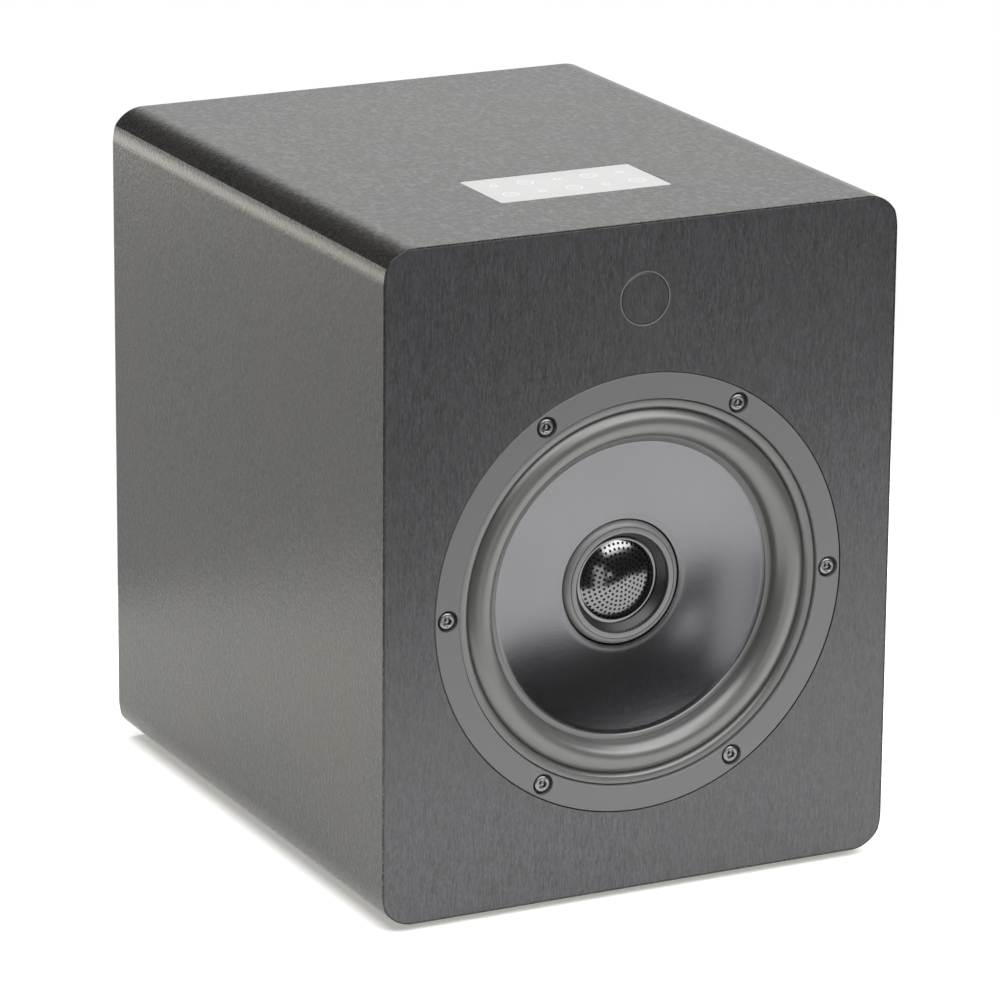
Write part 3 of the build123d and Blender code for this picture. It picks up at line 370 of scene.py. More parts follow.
def feltFinish(name, colour):
    finish, tree, shader = newFinish(name, colour, 0.95)
    shader.inputs["Sheen Weight"].default_value = 0.5
    hairs = noise(tree, (420.0, 420.0, 900.0), 6.0, 0.75, 1.2)
    feed(tree, tint(tree, spread(tree, hairs, 0.3, 0.7, 0.0, 1.0), shade(colour, 0.55), shade(colour, 1.5)),
         shader.inputs["Base Color"])
    bumped(tree, shader, hairs, 0.5, 0.7)
    return finish


def clothFinish(name, colour):
    # coarse woven cloth for the spider
    finish, tree, shader = newFinish(name, colour, 0.85)
    shader.inputs["Sheen Weight"].default_value = 0.3
    across = addNode(tree, "TexWave", bands_direction="X")
    along = addNode(tree, "TexWave", bands_direction="Z")
    for weave in (across, along):
        feed(tree, stretched(tree, (260.0,) * 3), weave.inputs["Vector"])
        weave.inputs["Scale"].default_value = 1.0
    threads = sums(tree, "MULTIPLY", across.outputs["Fac"], along.outputs["Fac"])
    feed(tree, tint(tree, threads, shade(colour, 0.5), colour), shader.inputs["Base Color"])
    bumped(tree, shader, threads, 0.2, 0.8)
    return finish


flangeLook = {
    "colour": (0.103, 0.104, 0.107),
    "roughness": 0.5,
    "gloss": 0.4,
    "contrast": 0.08,
    "grain": 2600.0,            # cells per metre
    "relief": 0.012,
}
ringLook = {
    "colour": (0.125, 0.125, 0.126),
    "roughness": 0.40,
    "gloss": 0.7,
    "contrast": 0.06,
    "grain": 1800.0,
    "relief": 0.01,
    "lip": 20.3,                # radius in mm inside which the throat is black
    "lipColour": (0.012, 0.012, 0.013),
    "lipBlur": 0.05,
}


def axisDistance(tree):
    # metres from the driver's axis
    coords = addNode(tree, "TexCoord")
    offset = addNode(tree, "VectorMath", operation="SUBTRACT")
    feed(tree, coords.outputs["Object"], offset.inputs[0])
    offset.inputs[1].default_value = driverCentre
    flat = addNode(tree, "VectorMath", operation="MULTIPLY")
    feed(tree, offset.outputs["Vector"], flat.inputs[0])
    flat.inputs[1].default_value = (1.0, 0.0, 1.0)
    reach = addNode(tree, "VectorMath", operation="LENGTH")
    feed(tree, flat.outputs["Vector"], reach.inputs[0])
    return reach.outputs["Value"]


def paintedFinish(name, look):
    # satin paint with a fine even grain, black inside the lip where there is one
    finish, tree, shader = newFinish(name, look["colour"], look["roughness"])
    shader.inputs["Specular IOR Level"].default_value = look["gloss"]
    grain = noise(tree, (look["grain"],) * 3, 3.0, 0.6)
    painted = tint(tree, grain, shade(look["colour"], 1 - look["contrast"]),
                   shade(look["colour"], 1 + look["contrast"]))
    if "lip" in look:
        edge, blur = look["lip"] * mm, look["lipBlur"] * mm
        throat = spread(tree, axisDistance(tree), edge - blur, edge + blur, 1.0, 0.0)
        painted = tint(tree, throat, painted, look["lipColour"])
    feed(tree, painted, shader.inputs["Base Color"])
    bumped(tree, shader, grain, look["relief"])
    return finish


touchLook = {
    "colour": (0.345, 0.345, 0.345),
    "roughness": 0.35,
}
markLook = {
    "colour": (0.62, 0.62, 0.62),
    "roughness": 0.30,
}


def touchFinish(name, look):
    # frosted light acrylic
    finish, tree, shader = newFinish(name, look["colour"], look["roughness"])
    shader.inputs["Subsurface Weight"].default_value = 0.15
    shader.inputs["Subsurface Scale"].default_value = 0.002
    frost = noise(tree, (1500.0,) * 3, 3.0, 0.6)
    cloud = noise(tree, (60.0,) * 3, 2.0, 0.5)
    cloudy = spread(tree, cloud, 0.3, 0.7, 0.0, 1.0)
    feed(tree, tint(tree, cloudy, shade(look["colour"], 0.965), look["colour"]), shader.inputs["Base Color"])
    bumped(tree, shader, frost, 0.01, 0.25)
    return finish


insulatorLook = {
    "left": (0.75, 0.75, 0.73),
    "right": (0.42, 0.022, 0.020),
    "between": 42.0,            # where the colour changes, from the middle of the panel
    "blur": 1.0,
    "roughness": 0.34,
}


def insulatorFinish(name, look):
    # moulded plastic, white for one channel and red for the other
    finish, tree, shader = newFinish(name, look["left"], look["roughness"])
    coords = addNode(tree, "TexCoord")
    split = addNode(tree, "SeparateXYZ")
    feed(tree, coords.outputs["Object"], split.inputs["Vector"])
    between, blur = look["between"] * mm, look["blur"] * mm
    channel = spread(tree, split.outputs["X"], between - blur, between + blur, 0.0, 1.0)
    cloud = noise(tree, (300.0,) * 3, 3.0, 0.5)
    plain = tint(tree, channel, look["left"], look["right"])
    deep = tint(tree, channel, shade(look["left"], 0.85), shade(look["right"], 0.75))
    feed(tree, tint(tree, cloud, deep, plain), shader.inputs["Base Color"])
    bumped(tree, shader, cloud, 0.02, 0.3)
    return finish


finishes = {
    "laminate_grey": brushedFinish("laminateGrey", laminateLook),
    "fascia_grey": brushedFinish("fasciaGrey", fasciaLook),
    "touch_white": touchFinish("touchWhite", touchLook),
    "frame_grey": paintedFinish("frameGrey", flangeLook),
    "ring_grey": paintedFinish("ringGrey", ringLook),
    "socket_white": insulatorFinish("socketWhite", insulatorLook),
    "fibreboard": fibreFinish("fibreboard", (0.30, 0.19, 0.095)),
    "damping_felt": feltFinish("dampingFelt", (0.10, 0.10, 0.105)),
    "spider_cloth": clothFinish("spiderCloth", (0.50, 0.36, 0.16)),
    "board_green": boardFinish("boardGreen", (0.012, 0.075, 0.035)),
}
for slotName, look in satinLooks.items():
    finishes[slotName] = satinFinish(slotName.title().replace("_", ""), look)
for slotName, look in metalLooks.items():
    finishes[slotName] = metalFinish(slotName.title().replace("_", ""), look)

# the plain parts that stay in view or inside take the same finishes
for part in frame["record"]["subparts"]:
    data = nodes[part["node"]].data
    data.materials.clear()
    data.materials.append(finishes[part["material_slot"]])
print("finishes made,", len(finishes))


def finishPiece(mesh, name, slot, body, stands, sharpAngle=30.0, flatFaces=False):
    # smooth shading with sharp edges, then onto its body in place of the plain parts
    tidy = bmesh.new()
    tidy.from_mesh(mesh)
    bmesh.ops.remove_doubles(tidy, verts=tidy.verts, dist=0.002 * mm)
    bmesh.ops.recalc_face_normals(tidy, faces=tidy.faces)
    tidy.to_mesh(mesh)
    tidy.free()
    mesh.polygons.foreach_set("use_smooth", [True] * len(mesh.polygons))
    mesh.set_sharp_from_angle(angle=math.radians(sharpAngle))
    mesh.materials.clear()
    mesh.materials.append(finishes[slot])
    piece = bpy.data.objects.new(name, mesh)
    bpy.context.scene.collection.objects.link(piece)
    if flatFaces:                       # big flat faces keep their own shading up to the eased edges
        weighting = piece.modifiers.new("flatFaces", "WEIGHTED_NORMAL")
        weighting.keep_sharp = True
        weighting.weight = 100
    if stands:
        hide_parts(*stands)
    if body:
        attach(piece, body)
    return piece


def arcThrough(start, mid, end, steps):
    # points on the circle through three (radius, depth) points, start left out
    (ax, ay), (bx, by), (cx, cy) = start, mid, end
    d = 2 * (ax * (by - cy) + bx * (cy - ay) + cx * (ay - by))
    ux = ((ax**2 + ay**2) * (by - cy) + (bx**2 + by**2) * (cy - ay) + (cx**2 + cy**2) * (ay - by)) / d
    uy = ((ax**2 + ay**2) * (cx - bx) + (bx**2 + by**2) * (ax - cx) + (cx**2 + cy**2) * (bx - ax)) / d
    radius = math.hypot(ax - ux, ay - uy)
    first = math.atan2(ay - uy, ax - ux)
    sweepMid = (math.atan2(by - uy, bx - ux) - first) % (2 * math.pi)
    sweep = (math.atan2(cy - uy, cx - ux) - first) % (2 * math.pi)
    if sweepMid > sweep:
        sweep -= 2 * math.pi
    angles = [first + sweep * n / steps for n in range(1, steps + 1)]
    return [(ux + radius * math.cos(a), uy + radius * math.sin(a)) for a in angles]


def eased(outline, radius, steps=3):
    # closed outline with each corner rounded off a little
    made = []
    count = len(outline)
    for n, corner in enumerate(outline):
        here = Vector(corner)
        before, after = Vector(outline[n - 1]) - here, Vector(outline[(n + 1) % count]) - here
        turn = before.angle(after, math.pi)
        if turn > math.radians(150):
            made.append(tuple(here))
            continue
        reach = min(radius, 0.4 * before.length, 0.4 * after.length)
        start, end = here + before.normalized() * reach, here + after.normalized() * reach
        for step in range(steps + 1):
            t = step / steps
            made.append(tuple(start * (1 - t) ** 2 + here * 2 * t * (1 - t) + end * t**2))
    return made


def turnedMesh(name, outline, centre, steps=128):
    # a closed outline of (radius, depth) in mm, turned about the axis along Y through centre
    made = bmesh.new()
    rings = []
    for n in range(steps):
        a = 2 * math.pi * n / steps
        rings.append([
            made.verts.new(centre + Vector((r * math.cos(a), d, r * math.sin(a))) * mm) for r, d in outline
        ])
    count = len(outline)
    for n in range(steps):
        here, there = rings[n], rings[(n + 1) % steps]
        for k in range(count):
            if outline[k][0] < 1e-6 and outline[(k + 1) % count][0] < 1e-6:
                continue
            made.faces.new((here[k], here[(k + 1) % count], there[(k + 1) % count], there[k]))
    bmesh.ops.remove_doubles(made, verts=made.verts, dist=1e-7)
    bmesh.ops.dissolve_degenerate(made, edges=made.edges, dist=1e-7)
    mesh = bpy.data.meshes.new(name)
    made.to_mesh(mesh)
    made.free()
    return mesh


def circleOutline(radius, x=0.0, y=0.0, steps=96):
    return [(x + radius * math.cos(2 * math.pi * n / steps), y + radius * math.sin(2 * math.pi * n / steps))
            for n in range(steps)]


def roundedOutline(width, height, radius, x=0.0, y=0.0, steps=16):
    made = []
    for quarter, (sx, sy) in enumerate(((1, 1), (-1, 1), (-1, -1), (1, -1))):
        cx, cy = x + sx * (width / 2 - radius), y + sy * (height / 2 - radius)
        for n in range(steps + 1):
            a = math.pi / 2 * (quarter + n / steps)
            made.append((cx + radius * math.cos(a), cy + radius * math.sin(a)))
    return made


def plateMesh(name, outlines, thickness, bevel, turn, place):
    # flat plate with holes and softened edges, from a filled flat curve
    curve = bpy.data.curves.new(name, "CURVE")
    curve.dimensions = "2D"
    curve.fill_mode = "BOTH"
    curve.extrude = (thickness / 2 - bevel) * mm
    curve.bevel_depth = bevel * mm
    curve.bevel_resolution = 2
    curve.offset = -bevel * mm
    for outline in outlines:
        line = curve.splines.new("POLY")
        line.points.add(len(outline) - 1)
        for point, (x, y) in zip(line.points, outline):
            point.co = (x * mm, y * mm, 0, 1)
        line.use_cyclic_u = True
    holder = bpy.data.objects.new(name, curve)
    bpy.context.scene.collection.objects.link(holder)
    mesh = bpy.data.meshes.new_from_object(holder.evaluated_get(bpy.context.evaluated_depsgraph_get()))
    bpy.data.objects.remove(holder)
    mesh.transform(Matrix.Translation(place) @ turn)
    return mesh


faceFront = Matrix.Rotation(math.pi / 2, 4, "X")     # flat outline (x, y) stands up as (x, z), facing -Y


cabinetSizes = {
    "cornerRadius": 12.0,
    "seamTilt": 65.0,           # degrees round the corner where the top's roll meets the side
    "rollEnd": 59.0,
    "sideStart": 73.0,
    "skin": 0.8,
    "edgeEase": 0.22,
    "touchGap": 0.15,
    "touchCorner": 1.0,
    "cutterHeight": 6.0,
    "bezelRadius": 10.7,
    "flangeClearance": 0.35,
}


def seamedOutline(width, height, sizes, steps=14):
    # rounded box whose corners roll over, meet a fine seam and then ease into the sides
    radius = sizes["cornerRadius"]
    seam, roll, side = (math.radians(sizes[k]) for k in ("seamTilt", "rollEnd", "sideStart"))
    seamX, seamZ = radius * math.sin(seam), radius * (1 - math.cos(seam))   # measured from the roll's start
    rollRadius = seamZ / (1 - math.cos(roll))
    sideRadius = (radius - seamX) / (1 - math.sin(side))
    corner = []
    for n in range(steps + 1):
        a = roll * n / steps
        corner.append((seamX - rollRadius * (math.sin(roll) - math.sin(a)), rollRadius * (1 - math.cos(a))))
    for n in range(1, steps // 2 + 1):
        a = side + (math.pi / 2 - side) * 2 * n / steps
        corner.append((radius - sideRadius * (1 - math.sin(a)),
                       seamZ + sideRadius * (math.cos(side) - math.cos(a))))
    made = []
    for sx, sz in ((1, 1), (1, -1), (-1, -1), (-1, 1)):
        spots = [(sx * (width / 2 - radius + x), sz * (height / 2 - z)) for x, z in corner]
        made += spots if sx == sz else spots[::-1]
    return made[::-1]


def makeCabinet(sizes):
    width, height = (wrapHigh.x - wrapLow.x) / mm, (wrapHigh.z - wrapLow.z) / mm
    depth = (wrapHigh.y - wrapLow.y) / mm
    skin = sizes["skin"]
    outer = seamedOutline(width, height, sizes)
    inner = roundedOutline(width - 2 * skin, height - 2 * skin, sizes["cornerRadius"] - skin)
    sleeve = plateMesh("cabinetSkin", [outer, inner], depth, sizes["edgeEase"], faceFront, bodyCentre)
    # window for the touch panel
    touchLow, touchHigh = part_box("touch_panel")
    size = (touchHigh - touchLow) / mm
    window = roundedOutline(size.x + 2 * sizes["touchGap"], size.y + 2 * sizes["touchGap"],
                            sizes["touchCorner"], steps=6)
    place = Vector((middle("touch_panel").x, middle("touch_panel").y, topZ))
    cutterMesh = plateMesh("touchWindow", [window], sizes["cutterHeight"], 0.01, Matrix.Identity(4), place)
    cutter = bpy.data.objects.new("touchWindow", cutterMesh)
    blank = bpy.data.objects.new("skinBlank", sleeve)
    for thing in (cutter, blank):
        bpy.context.scene.collection.objects.link(thing)
    cut = blank.modifiers.new("window", "BOOLEAN")
    cut.operation = "DIFFERENCE"
    cut.solver = "EXACT"
    cut.object = cutter
    skinMesh = bpy.data.meshes.new_from_object(blank.evaluated_get(bpy.context.evaluated_depsgraph_get()))
    for thing in (cutter, blank):
        bpy.data.objects.remove(thing)
    finishPiece(skinMesh, "cabinetSkin", "laminate_grey", "cabinet", ["cabinet_wrap"], 10.0, True)

    # front sheet inside the skin's edge, with the driver's and the button's holes
    flangeLow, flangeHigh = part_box("driver_basket")
    clear = (flangeHigh.x - flangeLow.x) / mm / 2 + sizes["flangeClearance"]
    driverHole = circleOutline(clear, 0, (driverCentre.z - bodyCentre.z) / mm, 144)
    buttonHole = circleOutline(sizes["bezelRadius"], 0, (middle("button_cap").z - bodyCentre.z) / mm)
    thickness = (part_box("front_fascia")[1].y - frontY) / mm
    sheet = plateMesh("frontSheet", [inner, driverHole, buttonHole], thickness, 0.12, faceFront,
                      Vector((0, frontY + thickness / 2 * mm, bodyCentre.z)))
    finishPiece(sheet, "frontSheet", "fascia_grey", "cabinet", ["front_fascia"], 50.0, True)


makeCabinet(cabinetSizes)
print("cabinet skin and front sheet built")


touchSizes = {
    "corner": 1.0,
    "edge": 0.25,
    "sink": 0.03,
    "columns": 5,
    "rowOffset": 0.2,           # share of the panel's depth, each way from its middle
    "markRadius": 3.1,
    "markLine": 0.35,
    "markRise": 0.012,
}


def makeTouchPanel(sizes):
    low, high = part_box("touch_panel")
    size, sink = (high - low) / mm, sizes["sink"]
    outline = roundedOutline(size.x, size.y, sizes["corner"], steps=6)
    place = Vector((middle("touch_panel").x, middle("touch_panel").y, (low.z + high.z - sink * mm) / 2))
    plate = plateMesh("touchPlate", [outline], size.z - sink, sizes["edge"], Matrix.Identity(4), place)
    finishPiece(plate, "touchPanel", "touch_white", "cabinet", ["touch_panel"], 50.0, True)
    # two rows of plain ring marks, each with a short bar or a dot in it
    marks = bmesh.new()
    top = high.z - sink * mm + sizes["markRise"] * mm

    def stroke(points, closed):
        half = sizes["markLine"] / 2
        count = len(points)
        pairs = []
        for n, point in enumerate(points):
            before = Vector(points[n - 1]) if (closed or n) else Vector(point)
            after = Vector(points[(n + 1) % count]) if (closed or n < count - 1) else Vector(point)
            along = (after - before).normalized()
            side = Vector((-along.y, along.x)) * half
            here = Vector(point)
            pairs.append([marks.verts.new((spot.x * mm, spot.y * mm, top))
                          for spot in (here + side, here - side)])
        for n in range(count if closed else count - 1):
            a, b = pairs[n], pairs[(n + 1) % count]
            marks.faces.new((a[0], a[1], b[1], b[0]))

    centre = middle("touch_panel") / mm
    pitch, radius = size.x / (sizes["columns"] + 0.4), sizes["markRadius"]
    for row, lift in enumerate((-sizes["rowOffset"], sizes["rowOffset"])):
        for column in range(sizes["columns"]):
            x = centre.x + (column - (sizes["columns"] - 1) / 2) * pitch
            y = centre.y + lift * size.y
            if (column + row) % 2 == 0:
                stroke(circleOutline(radius, x, y, 32), True)
                stroke([(x - radius * 0.4, y), (x + radius * 0.4, y)], False)
            else:
                stroke(circleOutline(radius * 0.45, x, y, 20), True)
    markMesh = bpy.data.meshes.new("touchMarks")
    bmesh.ops.recalc_face_normals(marks, faces=marks.faces)
    solid = bmesh.ops.extrude_face_region(marks, geom=marks.faces[:])
    for vert in (v for v in solid["geom"] if isinstance(v, bmesh.types.BMVert)):
        vert.co.z -= sizes["markRise"] * 2 * mm
    marks.to_mesh(markMesh)
    marks.free()
    finishPiece(markMesh, "touchMarks", "touch_white", "cabinet", [])
    markMesh.materials[0] = touchFinish("touchMark", markLook)      # the same acrylic, lighter


makeTouchPanel(touchSizes)
print("touch panel built")


coneSizes = {
    "rim": (61.0, 8.0),          # radius, depth behind the front face
    "edge": (58.6, 8.0),
    "belly": (43.0, 13.3),
    "neck": (27.35, 16.6),
    "wall": 1.0,
    "lip": 25.45,
    "lipBack": 17.6,
    "neckBack": 20.5,
    "neckInner": 26.35,
}
surroundSizes = {
    "lipOuter": 77.3,
    "lipFront": 1.4,
    "ledge": 2.2,
    "valley": (73.2, 3.4),
    "crest": (67.2, 0.6),
    "foot": (61.3, 7.2),
    "seat": 8.0,                 # depth of the cone's rim that it is glued to
    "inner": 58.9,
    "throat": 74.3,
    "rubber": 0.8,
}


def makeCone(sizes):
    edge, belly, neck = sizes["edge"], sizes["belly"], sizes["neck"]
    wall = sizes["wall"]
    front = [sizes["rim"], edge] + arcThrough(edge, belly, neck, 20)
    lip, lipBack = sizes["lip"], sizes["lipBack"]
    innerWall = [(lip + 0.5, neck[1]), (lip + 0.12, neck[1] + 0.1), (lip, neck[1] + 0.4), (lip, lipBack),
                 (sizes["neckInner"], lipBack), (sizes["neckInner"], sizes["neckBack"]),
                 (neck[0], sizes["neckBack"]), (neck[0], neck[1] + wall)]
    back = arcThrough((neck[0], neck[1] + wall), (belly[0] + 0.2, belly[1] + wall),
                      (edge[0] + 0.3, edge[1] + wall + 0.2), 20)
    outline = front + innerWall + back + [(sizes["rim"][0], edge[1] + wall)]
    mesh = turnedMesh("speakerCone", outline, driverCentre, 192)
    finishPiece(mesh, "speakerCone", "cone_grey", "cone_assembly", ["cone"])


def radialBlend(piece):
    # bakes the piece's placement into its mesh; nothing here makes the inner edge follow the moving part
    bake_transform(piece)


def makeSurround(sizes):
    valley, crest, foot = sizes["valley"], sizes["crest"], sizes["foot"]
    rubber, ledge, lip = sizes["rubber"], sizes["ledge"], sizes["lipFront"]
    throat, seat, outer = sizes["throat"], sizes["seat"], sizes["lipOuter"]
    shoulder = [(outer, ledge), (outer, lip + 0.25), (outer - 0.25, lip), (valley[0] + 1.5, lip)]
    dip = arcThrough((valley[0] + 1.5, lip), (valley[0] + 0.75, lip + 0.55), valley, 5)
    roll = arcThrough(valley, crest, foot, 28)
    inner = sizes["inner"]
    collar = [(foot[0] - 0.25, foot[1] + 0.05), (inner + 0.3, foot[1]), (inner, foot[1] + 0.3),
              (inner, seat), (foot[0] + 0.5, seat)]
    under = arcThrough((foot[0] + 0.5, seat), (crest[0], crest[1] + rubber),
                       (valley[0] - 0.3, valley[1] + 1.2), 24)
    heel = [(throat, valley[1] + 1.2), (throat, ledge)]
    outline = shoulder + dip + roll + collar + under + heel
    mesh = turnedMesh("surroundRoll", outline, driverCentre, 192)
    piece = finishPiece(mesh, "surroundRoll", "surround_rubber", None, ["surround"], 40.0)
    radialBlend(piece)


makeCone(coneSizes)
makeSurround(surroundSizes)
print("cone and surround built")


spiderSizes = {
    "inner": 26.6,
    "outer": 59.5,
    "seatDepth": 26.4,
    "sheet": 0.58,
    "firstWave": 30.0,
    "wavePitch": 2.8,
    "waveCount": 7,
    "waveHeight": 1.0,
    "waveFade": 3.0,
    "landing": 50.0,
}
suspensionSizes = {
    "lip": (17.5, 23.6),
    "heel": (16.2, 23.6),
    "crown": (15.0, 21.8),
    "inner": (13.7, 22.5),
    "sheet": 0.4,
}


def makeSpider(sizes):
    face = [(sizes["inner"], sizes["seatDepth"])]
    waveLength = sizes["wavePitch"] * (sizes["waveCount"] - 1)
    stepsPerWave = 6
    for n in range(stepsPerWave * (sizes["waveCount"] - 1) + 1):
        along = n / stepsPerWave * sizes["wavePitch"]
        fade = min(1.0, along / sizes["waveFade"], (waveLength - along) / sizes["waveFade"])
        swing = math.cos(math.pi * along / sizes["wavePitch"]) * max(0.0, fade)
        face.append((sizes["firstWave"] + along, sizes["seatDepth"] + sizes["waveHeight"] * swing))
    face += [(sizes["landing"], sizes["seatDepth"]), (sizes["outer"], sizes["seatDepth"])]
    back = [(radius, depth + sizes["sheet"]) for radius, depth in reversed(face)]
    mesh = turnedMesh("spiderRing", face + back, driverCentre, 96)
    piece = finishPiece(mesh, "spiderRing", "spider_cloth", None, ["spider"], 50.0)
    radialBlend(piece)


def makeSuspension(sizes):
    sheet = sizes["sheet"]
    lip, heel, crown, inner = sizes["lip"], sizes["heel"], sizes["crown"], sizes["inner"]
    front = [lip, heel] + arcThrough(heel, crown, inner, 10)
    back = [(inner[0], inner[1] + sheet)]
    back += arcThrough(back[0], (crown[0] - 0.1, crown[1] + sheet), (heel[0] - 0.3, heel[1] + sheet), 10)
    mesh = turnedMesh("tweeterSuspension", front + back + [(lip[0], lip[1] + sheet)], driverCentre, 96)
    piece = finishPiece(mesh, "tweeterSuspension", "dome_silk", None, ["tweeter_suspension"], 45.0)
    radialBlend(piece)


makeSpider(spiderSizes)
makeSuspension(suspensionSizes)
print("spider and tweeter suspension built")


ringSizes = {
    "outer": 25.0,
    "front": 15.0,
    "bevelInner": 22.7,
    "bevelDepth": 2.8,
    "groove": 0.5,
    "opening": 20.1,
    "bore": 17.65,
    "boreDepth": 20.0,
    "back": 21.5,
    "ribCount": 84,
    "ribHeight": 0.3,
    "ribShare": 0.45,           # of each pitch, half a rib's width
}
grilleSizes = {
    "foot": 16.2,
    "footDepth": 20.0,
    "apexDepth": 15.7,
    "rim": 17.4,
    "sheet": 0.45,
    "holeRadius": 0.56,
    "ringGap": 1.88,
    "rings": 8,
    "holeSteps": 12,
}


def makeTweeterRing(sizes):
    front, groove, opening = sizes["front"], sizes["groove"], sizes["opening"]
    bevel = sizes["bevelInner"]
    outline = [
        (sizes["outer"], sizes["back"]),
        (sizes["outer"], front + sizes["bevelDepth"]),
        *arcThrough((sizes["outer"], front + sizes["bevelDepth"]), (bevel + 1.45, front + 0.95),
                    (bevel, front + 0.15), 8),
        (bevel - 0.06, front + groove),
        (bevel - 0.42, front + groove),
        (bevel - 0.48, front + 0.06),
        (bevel - 0.62, front),
        (opening + 0.35, front),
        (opening + 0.08, front + 0.1),
        (opening, front + 0.4),
        (opening, front + 1.9),
        (sizes["bore"], sizes["boreDepth"]),
        (sizes["bore"], sizes["back"]),
    ]
    mesh = turnedMesh("tweeterRing", outline, driverCentre, 168)
    finishPiece(mesh, "tweeterRing", "ring_grey", "cabinet", ["tweeter_ring"], 35.0)
    # fine ribs round the inner lip
    ribs = bmesh.new()
    for n in range(sizes["ribCount"]):
        a = 2 * math.pi * n / sizes["ribCount"]
        half = math.pi / sizes["ribCount"] * sizes["ribShare"]
        corners = []
        for radius, depth in ((opening + 0.02, front + 0.75), (opening + 0.02, front + 1.85),
                              (opening - sizes["ribHeight"], front + 1.75),
                              (opening - sizes["ribHeight"], front + 0.95)):
            for side in (-half, half):
                corners.append(ribs.verts.new(driverCentre + Vector(
                    (radius * math.cos(a + side), depth, radius * math.sin(a + side))) * mm))
        for k in range(4):
            b = (k + 1) % 4
            ribs.faces.new((corners[2 * k], corners[2 * k + 1], corners[2 * b + 1], corners[2 * b]))
        ribs.faces.new((corners[0], corners[2], corners[4], corners[6]))
        ribs.faces.new((corners[1], corners[3], corners[5], corners[7]))
    ribMesh = bpy.data.meshes.new("tweeterRibs")
    ribs.to_mesh(ribMesh)
    ribs.free()
    finishPiece(ribMesh, "tweeterRibs", "moulded_black", "cabinet", [])


def makeGrille(sizes):
    # flat pattern of round holes in rings, then pushed out to the dome
    foot, rise = sizes["foot"], sizes["footDepth"] - sizes["apexDepth"]
    ball = (foot**2 + rise**2) / (2 * rise)
    holes = [(0.0, 0.0)]
    for ring in range(1, sizes["rings"] + 1):
        count = 6 * ring
        for n in range(count):
            a = 2 * math.pi * (n + 0.5 * (ring % 2)) / count
            holes.append((ring * sizes["ringGap"] * math.cos(a), ring * sizes["ringGap"] * math.sin(a)))
    points, edges = [], []

    def addLoop(loop):
        start = len(points)
        points.extend(Vector(p) for p in loop)
        edges.extend((start + n, start + (n + 1) % len(loop)) for n in range(len(loop)))

    addLoop(circleOutline(foot, steps=120))
    for x, y in holes:
        addLoop(circleOutline(sizes["holeRadius"], x, y, sizes["holeSteps"]))
    flat, _, faces, *_ = delaunay_2d_cdt(points, edges, [], 0, 1e-5)
    kept = []
    for face in faces:
        spot = sum((flat[v] for v in face), Vector((0, 0))) / len(face)
        if all((spot.x - x) ** 2 + (spot.y - y) ** 2 > (sizes["holeRadius"] * 0.8) ** 2 for x, y in holes):
            kept.append(face)

    def onDome(point, sink):
        reach = point.length
        if reach > foot:
            depth = sizes["footDepth"] + sink
        else:
            depth = sizes["apexDepth"] + ball - math.sqrt(max(0.0, ball**2 - reach**2)) + sink
        return driverCentre + Vector((point.x, depth, point.y)) * mm

    made = bmesh.new()
    outer = [made.verts.new(onDome(p, 0.0)) for p in flat]
    inner = [made.verts.new(onDome(p, sizes["sheet"])) for p in flat]
    for face in kept:
        made.faces.new([outer[v] for v in face])
        made.faces.new([inner[v] for v in reversed(face)])
    made.edges.ensure_lookup_table()
    lone = [e for e in made.edges if len(e.link_faces) == 1]
    partner = dict(zip(outer, inner))
    for edge in lone:
        a, b = edge.verts
        if a in partner:
            made.faces.new((a, b, partner[b], partner[a]))
    bmesh.ops.delete(made, geom=[v for v in made.verts if not v.link_faces], context="VERTS")
    bmesh.ops.recalc_face_normals(made, faces=made.faces)
    mesh = bpy.data.meshes.new("grilleDome")
    made.to_mesh(mesh)
    made.free()
    finishPiece(mesh, "tweeterGrille", "grille_black", "cabinet", ["tweeter_grille"], 45.0)
    # flat rim that clamps the dome in the ring
    rimFront, rimBack = sizes["footDepth"] + 0.02, sizes["footDepth"] + 0.5
    rim = eased([(foot - 0.4, rimFront), (sizes["rim"], rimFront),
                 (sizes["rim"], rimBack), (foot - 0.4, rimBack)], 0.1)
    rimMesh = turnedMesh("grilleRim", rim, driverCentre, 120)
    finishPiece(rimMesh, "grilleRim", "grille_black", "cabinet", [])


makeTweeterRing(ringSizes)
makeGrille(grilleSizes)
print("tweeter ring and grille built")


screwSizes = {
    "circle": 82.7,
    "count": 6,
    "headRadius": 3.4,
    "headFront": 0.4,
    "headBack": 2.8,
    "hexAcross": 3.2,
    "hexDepth": 1.5,
    "pinRadius": 0.7,
    "shank": 1.9,
    "shankBack": 16.0,
}


